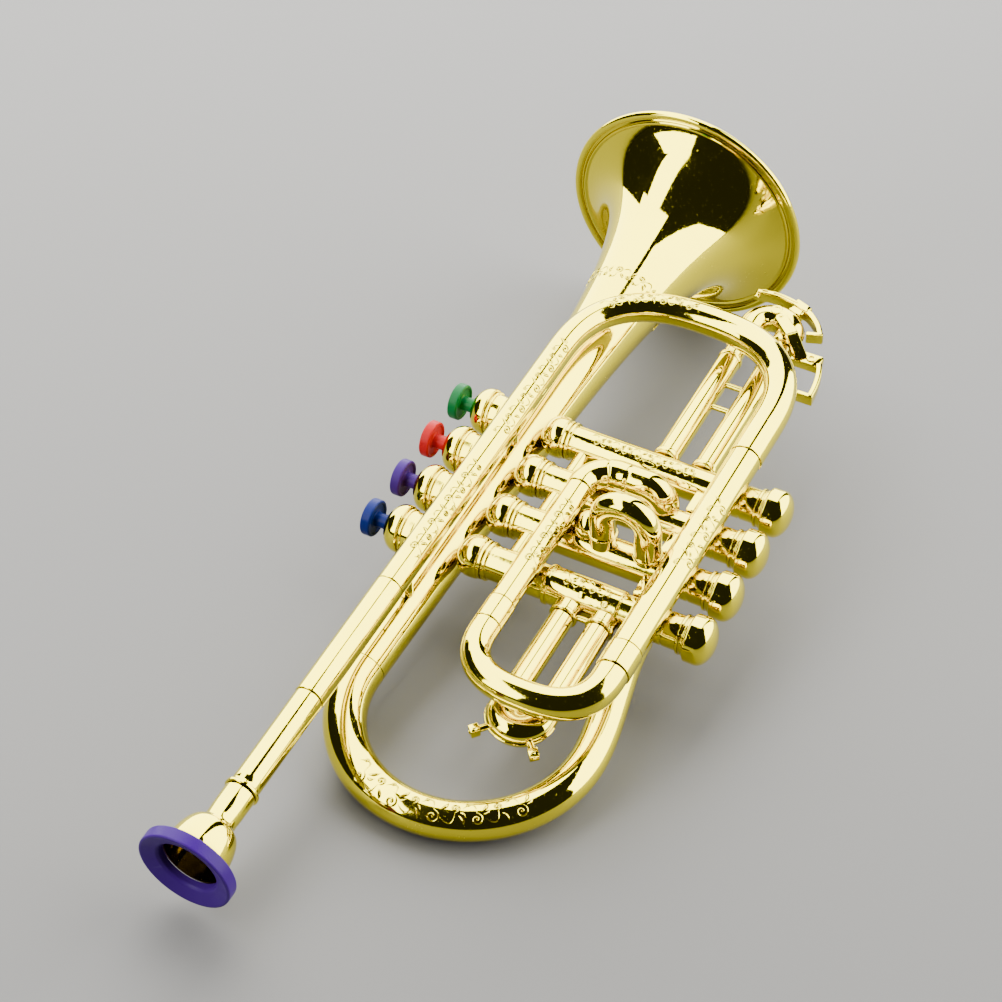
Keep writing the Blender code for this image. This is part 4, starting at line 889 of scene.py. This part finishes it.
def make_front_slide():
    bm = bmesh.new()
    for y in FRONT_Y:
        rod(bm, (VALVE_X[0] + 0.0060, y, 0), (0.0950, y, 0), SLEEVE_RADIUS, 48)
        band(bm, 0.0930, y, 0, SLEEVE_RADIUS, 0.0020, 0.0003)
        band(bm, 0.0382, y, 0, SLEEVE_RADIUS, 0.0022, 0.0005)
    for at in (0.0695, 0.0817):
        brace(bm, at, FRONT_Y)
    finish_piece("front_sleeves", bm, replaces=("front_slide_sleeves",))
    bm = bmesh.new()
    slide_loop(bm, 0.0953, FRONT_BOW_X, FRONT_Y, 1, FRONT_THIN, SLIDE_FAT)
    parting_bead(bm, FRONT_BOW_X, FRONT_MIDDLE, 0.0124, 1)
    for y in FRONT_Y:
        band(bm, 0.1040, y, 0, FRONT_THIN, 0.0012, 0.0007)
    stud = [(0.0, 0.0046), (0.0012, 0.0046), (0.0013, 0.0052), (0.0022, 0.0052),
            (0.0024, 0.0046), (0.0026, 0.0)]
    lathe(bm, filleted(stud, 0.0002, 3), (0.1218, FRONT_MIDDLE + 0.0008, 0), AXIS_Z, 40)
    finish_piece("front_loop", bm, replaces=("front_slide",))


make_front_slide()


def peg(bm, angle):
    """Stalk on the rear bow, with a square head and two small studs."""
    out = Vector((-cos(angle), sin(angle), 0))
    root = Vector((REAR_BOW_X, REAR_MIDDLE, 0)) + out * 0.0114
    head = root + out * 0.0048
    side = 0.0034
    rod(bm, root, head, 0.0012)
    bar(bm, head, (side, side, side), -angle, 0.12)
    for way in (out, UP):
        tip = head + way * 0.0016
        rod(bm, tip, tip + way * 0.0004, 0.0007, 16, 0.0001)


def make_rear_slide():
    bm = bmesh.new()
    for y in REAR_Y:
        rod(bm, (-0.0430, y, 0), (VALVE_X[3] - 0.0062, y, 0), BOSS_RADIUS, 48)
        band(bm, -0.0429, y, 0, BOSS_RADIUS, 0.0016, 0.0003)
    brace(bm, -0.0408, REAR_Y)
    finish_piece("rear_bosses", bm, replaces=("rear_slide_bosses",))
    bm = bmesh.new()
    slide_loop(bm, -0.0433, REAR_BOW_X, REAR_Y, -1, REAR_THIN, SLIDE_FAT)
    parting_bead(bm, REAR_BOW_X, REAR_MIDDLE, 0.01175, -1)
    dish = [(0.0, 0.0030), (0.0008, 0.0029), (0.0012, 0.0022)]
    for k in range(4):
        r = 0.0015 + 0.0013 * k
        top = 0.0023 + 0.00055 * k
        dish += [(r, top - 0.0006), (r + 0.0002, top), (r + 0.0007, top), (r + 0.0009, top - 0.0006)]
    dish += [(0.0068, 0.0034), (0.0072, 0.0), (0.0068, -0.0030), (0.0, -0.0030)]
    lathe(bm, filleted(dish, 0.00018, 3), (REAR_BOW_X, REAR_MIDDLE, 0), AXIS_Z, 80)
    for angle in (0.72, -0.72):
        peg(bm, angle)
    finish_piece("rear_loop", bm, replaces=("rear_slide",))


make_rear_slide()


def make_second_slide():
    """Hoop on the third casing, with a round boss at its foot and a band on each leg."""
    x, y, half = VALVE_X[2], -0.0189, 0.0084
    top_z, foot_z, sunk_z = 0.0262, 0.0060, 0.0045
    radius, boss = 0.0047, 0.0058
    top = arc((x, y, top_z - half), half, 0, pi, 44, AXIS_Y, AXIS_Z)
    points = [Vector((x, y + half, sunk_z))] + line_points((x, y + half, foot_z), top[0], 6)[:-1]
    points += top + line_points(top[-1], (x, y - half, foot_z), 6)[1:] + [Vector((x, y - half, sunk_z))]
    bm = bmesh.new()
    closed_tube(bm, Route(points, radius), 52)
    around = [(boss * sin(pi * k / 20), boss * cos(pi * k / 20)) for k in range(1, 20)]
    lathe(bm, [(0.0, boss)] + around + [(0.0, -boss)], (-0.0078, -0.0042, 0.0075), AXIS_Z, 56)
    band(bm, x, y + half, 0.0092, radius, 0.0012, 0.0005, AXIS_Z)
    band(bm, x, y - half, 0.0062, radius, 0.0018, 0.0005, AXIS_Z)
    finish_piece("second_slide_hoop", bm, replaces=("second_slide",))


make_second_slide()

HOOK_THICKNESS, HOOK_HEIGHT, POST_ANGLE = 0.0022, 0.0050, -0.36


def make_front_hook():
    """Flat hook round the front slide, with rails, a pin, a turned-in end and a post."""
    knots = [(0.1314, -0.0063), (0.1323, -0.0121), (0.1319, -0.0180), (0.1304, -0.0236), (0.1279, -0.0287),
             (0.1238, -0.0334), (0.1190, -0.0366)]
    line = resample(soft_line([Vector((*k, 0)) for k in knots]), 48)
    bm = bmesh.new()
    strip(bm, line, HOOK_THICKNESS, HOOK_HEIGHT)
    for first, last in ((2, 5), (8, 22)):
        rail = [p + Vector((0, 0, 0.0026)) for p in line[first:last + 1]]
        closed_tube(bm, Route(rail, 0.00045), 14, 0.0001)
    rod(bm, line[0] + Vector((-0.0026, -0.0002, 0.0004)), line[0] + Vector((0.0012, 0.0001, 0.0004)), 0.0011)
    bar(bm, line[-1] + Vector((-0.0004, 0.0022, 0)), (0.0062, 0.0016, 0.0046), -1.25)
    centre = Vector((FRONT_BOW_X, FRONT_MIDDLE, 0))
    out = Vector((cos(POST_ANGLE), sin(POST_ANGLE), 0))
    bar(bm, centre + out * 0.0148, (0.0046, 0.0060, 0.0040), POST_ANGLE)
    bar(bm, centre + out * 0.0170, (0.0034, 0.0076, 0.0054), POST_ANGLE)
    finish_piece("front_hook_bar", bm, replaces=("front_hook",))


def make_side_hook():
    """Second flat hook on its block, and the flat arm pinned on top of the bow."""
    tail_x, tail_y, block_x = 0.0880, -0.0312, 0.10597
    line = [(tail_x + 0.0260 * cos(a), tail_y - 0.0142 * sin(a)) for a in blend(0.88, pi / 2, 26)]
    bm = bmesh.new()
    strip(bm, line, HOOK_THICKNESS, HOOK_HEIGHT)
    bar(bm, (line[-1][0], line[-1][1] + 0.0020, 0), (0.0016, 0.0062, 0.0046))
    bar(bm, (block_x, -0.03685, 0), (0.0060, 0.0113, 0.0040))
    stud = [(0.0, 0.0022), (0.0008, 0.0022), (0.0009, 0.0027), (0.0018, 0.0027), (0.0020, 0.0018)]
    lathe(bm, filleted(stud, 0.00015, 3), (block_x, -0.0385, 0), AXIS_Z, 32)
    knots = [Vector((0.1165, FRONT_MIDDLE - 0.0030, 0.0066)), Vector((0.1100, FRONT_MIDDLE - 0.0100, 0.0066)),
             Vector((0.1045, FRONT_MIDDLE - 0.0165, 0.0016))]
    route = Route(resample(knots, 22), 1.0)
    w, t, e = 0.0025, 0.0011, 0.0004
    section = [(t, -w + e), (t, w - e), (t - e, w), (-t + e, w),
               (-t, w - e), (-t, -w + e), (-t + e, -w), (t - e, -w)]
    sweep(bm, [route.frame(k, 1.0) for k in range(len(route.points))], section)
    pin = [(0.0, 0.0015), (0.0005, 0.0015), (0.0006, 0.0011), (0.0012, 0.0011), (0.0018, 0.0008),
           (0.0018, -0.0011), (0.0, -0.0011)]
    lathe(bm, filleted(pin, 0.0002, 3), knots[0], AXIS_Z, 40)
    finish_piece("side_hook_bar", bm, replaces=("side_hook",))


make_front_hook()
make_side_hook()


# Scroll relief, snap marks and rivets

MARK_LINE = 0.00013
# Name, tube, start, length, angle, curl size, swing, hand
RELIEFS = (
    ("relief_lead_front", upper_route, 0.0750, 0.0510, 0.45, 0.00195, 0.0022, 1),
    ("relief_lead_rear", upper_route, 0.0130, 0.0475, 0.40, 0.00190, 0.0022, -1),
    ("relief_upper_bend", upper_route, 0.1500, 0.0360, 0.10, 0.00180, 0.0018, 1),
    ("relief_return", return_route, 0.0460, 0.0330, 0.55, 0.00205, 0.0026, 1),
    ("relief_short", short_route, 0.0255, 0.0320, 0.45, 0.00185, 0.0021, -1),
    ("relief_bow", bow_route, 0.0460, 0.0600, 0.25, 0.00230, 0.0030, 1),
)
for name, route, start, length, angle, size, swing, hand in RELIEFS:
    raised(name, on_route(route, start, angle, hand), scroll(length, size, swing))


def window_mark(u, v, length, width):
    """Small frame, as left round a snap fit."""
    a, b = length / 2, width / 2
    loop = [(u - a, v - b), (u + a, v - b), (u + a, v + b), (u - a, v + b), (u - a, v - b)]
    return (spaced(loop, 0.0004), MARK_LINE, 0.0)


MARKS = [window_mark(0.1035, 0.0, 0.0034, 0.0016), window_mark(0.0370, -0.0020, 0.0034, 0.0016),
         (circle_line(0.0450, -0.0046, 0.0008, 0.0008), MARK_LINE, 0.0)]
raised("snap_marks", on_route(upper_route, 0.0, 1.25), MARKS, 2.4)


def bell_band():
    """Scroll border round the throat of the bell."""
    middle_x, size, swing, reach = 0.1135, 0.00165, 0.0022, 0.001
    radius = bell_radius(middle_x)

    def place(u, v):
        a = u / radius
        x = middle_x + v
        slope = (bell_radius(x + reach) - bell_radius(x - reach)) / (2 * reach)
        out = Vector((-slope, cos(a), sin(a))).normalized()
        return Vector((x, BELL_Y + bell_radius(x) * cos(a), BELL_Z + bell_radius(x) * sin(a))), out

    raised("relief_bell", place, scroll(tau * radius, size, swing))


bell_band()


def shifted(lines, du, dv=0.0):
    """The same flat lines, moved."""
    return [([(u + du, v + dv) for u, v in line], *rest) for line, *rest in lines]


def front_casing_ornament():
    """Scrolls, a double oval and a row of dashes on the first casing."""
    front = Route(line_points((VALVE_X[0], 0.0160, 0), (VALVE_X[0], -0.0340, 0), 2), CASING_RADIUS)
    lines = shifted(scroll(0.0400, 0.00135, 0.0017), 0.0020)
    lines.append((circle_line(0.0250, 0.0024, 0.0034, 0.0015), 0.00020, 0.0))
    lines.append((circle_line(0.0250, 0.0024, 0.0022, 0.0008), 0.00014, 0.0))
    for k in range(9):
        u, v = 0.0165 + 0.0031 * k, 0.0046
        lines.append((spaced([(u, v), (u + 0.0019, v)], 0.0004), 0.00022, 0.2))
    raised("relief_casing_1", on_route(front, 0.0, 0.10), lines, 2.0)


def rear_casing_ornament():
    """Scrolls, a small ring and two rivets on the rear casing."""
    rear = Route(line_points((VALVE_X[3], -0.0030, 0), (VALVE_X[3], -0.0276, 0), 2), REAR_RADIUS)
    lines = shifted(scroll(0.0190, 0.0016, 0.0019), 0.0025, -0.0008)
    lines.append((circle_line(0.0205, 0.0034, 0.0013, 0.0009), 0.00022, 0.0))
    raised("relief_casing_4", on_route(rear, 0.0, 0.15), lines, 2.0)
    bm = bmesh.new()
    point, out = rear.at(0.0120, 0.62)
    bar(bm, None, (0.0010, 0.0022, 0.0022), turn=frame_at(point + out * 0.0001, Vector((0, -1, 0)), out))
    point, out = rear.at(0.0205, 0.66)
    rivet = [(0.0, 0.0003), (0.0004, 0.0003), (0.0005, 0.0006), (0.0009, 0.0006),
             (0.0011, 0.0), (0.0011, -0.0004)]
    lathe(bm, filleted(rivet, 0.0001, 3), point, out, 28)
    finish_piece("casing_rivets", bm)


front_casing_ornament()
rear_casing_ornament()


# Inner pieces and props keep their CAD shape

def dress(name, mat):
    """Give a CAD node that stays one material."""
    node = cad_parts[name]
    node.data.materials.clear()
    node.data.materials.append(mat)
    return node


for k, colour in enumerate(COLOURS, 1):
    spring = dress(f"return_spring_{k}", STEEL)
    dress(f"valve_pad_{k}", RUBBER)
    dress(f"reed_plate_{k}", WHITE)
    dress(f"reed_{k}", BRASS)
    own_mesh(spring)
for k in (1, 2):
    dress(f"lead_prop_{k}", GOLD)


# Floor, light and camera

FLOOR_SIZE, FLOOR_ROUGH = 6.0, 0.6
FLOOR_DARK, FLOOR_PALE = (0.130, 0.130, 0.130, 1), (0.140, 0.140, 0.139, 1)


def make_stage():
    bm = bmesh.new()
    bmesh.ops.create_grid(bm, x_segments=2, y_segments=2, size=FLOOR_SIZE)
    mesh = new_mesh("floor", bm)
    floor = add_object("floor", mesh)
    mat = bpy.data.materials.new("pale_floor")
    mat.use_nodes = True
    shader = mat.node_tree.nodes["Principled BSDF"]
    n = Nodes(mat.node_tree)
    cloud = n.noise(n.add("ShaderNodeTexCoord").outputs["Object"], 3.0, 4.0)
    n.put(n.mix(cloud, FLOOR_DARK, FLOOR_PALE), shader.inputs["Base Color"])
    shader.inputs["Roughness"].default_value = FLOOR_ROUGH
    mesh.materials.append(mat)


def softbox(name, corner, along, across, glow=8.5, colour=(1.0, 0.985, 0.94)):
    """Flat light given by a corner and two edges. It faces the toy, as bright as asked at any size."""
    corner, along, across = Vector(corner), Vector(along), Vector(across)
    centre = corner + (along + across) / 2
    away = along.cross(across)
    if away.dot(centre) < 0:
        along, away = -along, -away
    light = bpy.data.lights.new(name, "AREA")
    light.shape = "RECTANGLE"
    light.size, light.size_y = along.length, across.length
    light.energy = glow * pi * along.length * across.length
    light.color = colour
    turn = Matrix((along.normalized(), across.normalized(), away.normalized())).transposed().to_4x4()
    turn.translation = centre
    add_object(name, light).matrix_world = turn


make_stage()
TENT_TOP, TENT_FOOT, TENT_END, FAR_DEPTH = 1.05, 0.03, 1.42, 1.40
WALL_RISE = (0, 0, 1.02)
RIGHT_ALONG, RIGHT_ACROSS = (1.08, -0.33, 0), (-0.34, -1.10, 0)
# Name, corner, first edge, second edge
PANELS = (
    ("right_tent_top", (0.34, -0.12, TENT_TOP), RIGHT_ALONG, RIGHT_ACROSS),
    ("right_tent_end", (TENT_END, -0.45, TENT_FOOT), RIGHT_ACROSS, WALL_RISE),
    ("right_tent_side", (0.0, -1.22, TENT_FOOT), RIGHT_ALONG, WALL_RISE),
    ("far_tent_top", (0.12, 0.0, TENT_TOP), (1.30, 0, 0), (0, FAR_DEPTH, 0)),
    ("far_tent_end", (TENT_END, 0.0, TENT_FOOT), (0, FAR_DEPTH, 0), WALL_RISE),
    ("far_tent_side", (0.36, FAR_DEPTH, TENT_FOOT), (1.06, 0, 0), WALL_RISE),
    ("near_left_top", (-1.30, 0.36, TENT_TOP), (1.42, 0, 0), (0, 0.68, 0)),
    ("near_left_end", (-1.30, 0.36, 0.28), (0, 0.85, 0), (0, 0, 0.77)),
)
for panel in PANELS:
    softbox(*panel)
world = bpy.data.worlds.new("studio")
world.use_nodes = True
world.node_tree.nodes["Background"].inputs[0].default_value = (0.60, 0.62, 0.66, 1)
world.node_tree.nodes["Background"].inputs[1].default_value = 0.03
bpy.context.scene.world = world

CAMERA_AXES = (Vector((0.465285, -0.884637, -0.030457)), Vector((-0.661829, -0.324836, -0.675621)),
               Vector((0.587785, 0.334514, -0.736620)))
CAMERA_REACH = (0.030544, 0.006872, 0.831919)
SENSOR_WIDTH, FOCAL_PIXELS, PIXELS = 36, 2400, 1002


def make_camera():
    """Camera at the photograph's angle, from its axes right, down and ahead."""
    data = bpy.data.cameras.new("camera")
    data.sensor_width = SENSOR_WIDTH
    data.lens = SENSOR_WIDTH * FOCAL_PIXELS / PIXELS
    data.clip_start, data.clip_end = 0.02, 20
    right, down, ahead = CAMERA_AXES
    turn = Matrix((right, -down, -ahead)).transposed().to_4x4()
    turn.translation = -sum((axis * reach for axis, reach in zip(CAMERA_AXES, CAMERA_REACH)), Vector())
    obj = add_object("camera", data)
    obj.matrix_world = REST @ turn
    bpy.context.scene.camera = obj


make_camera()
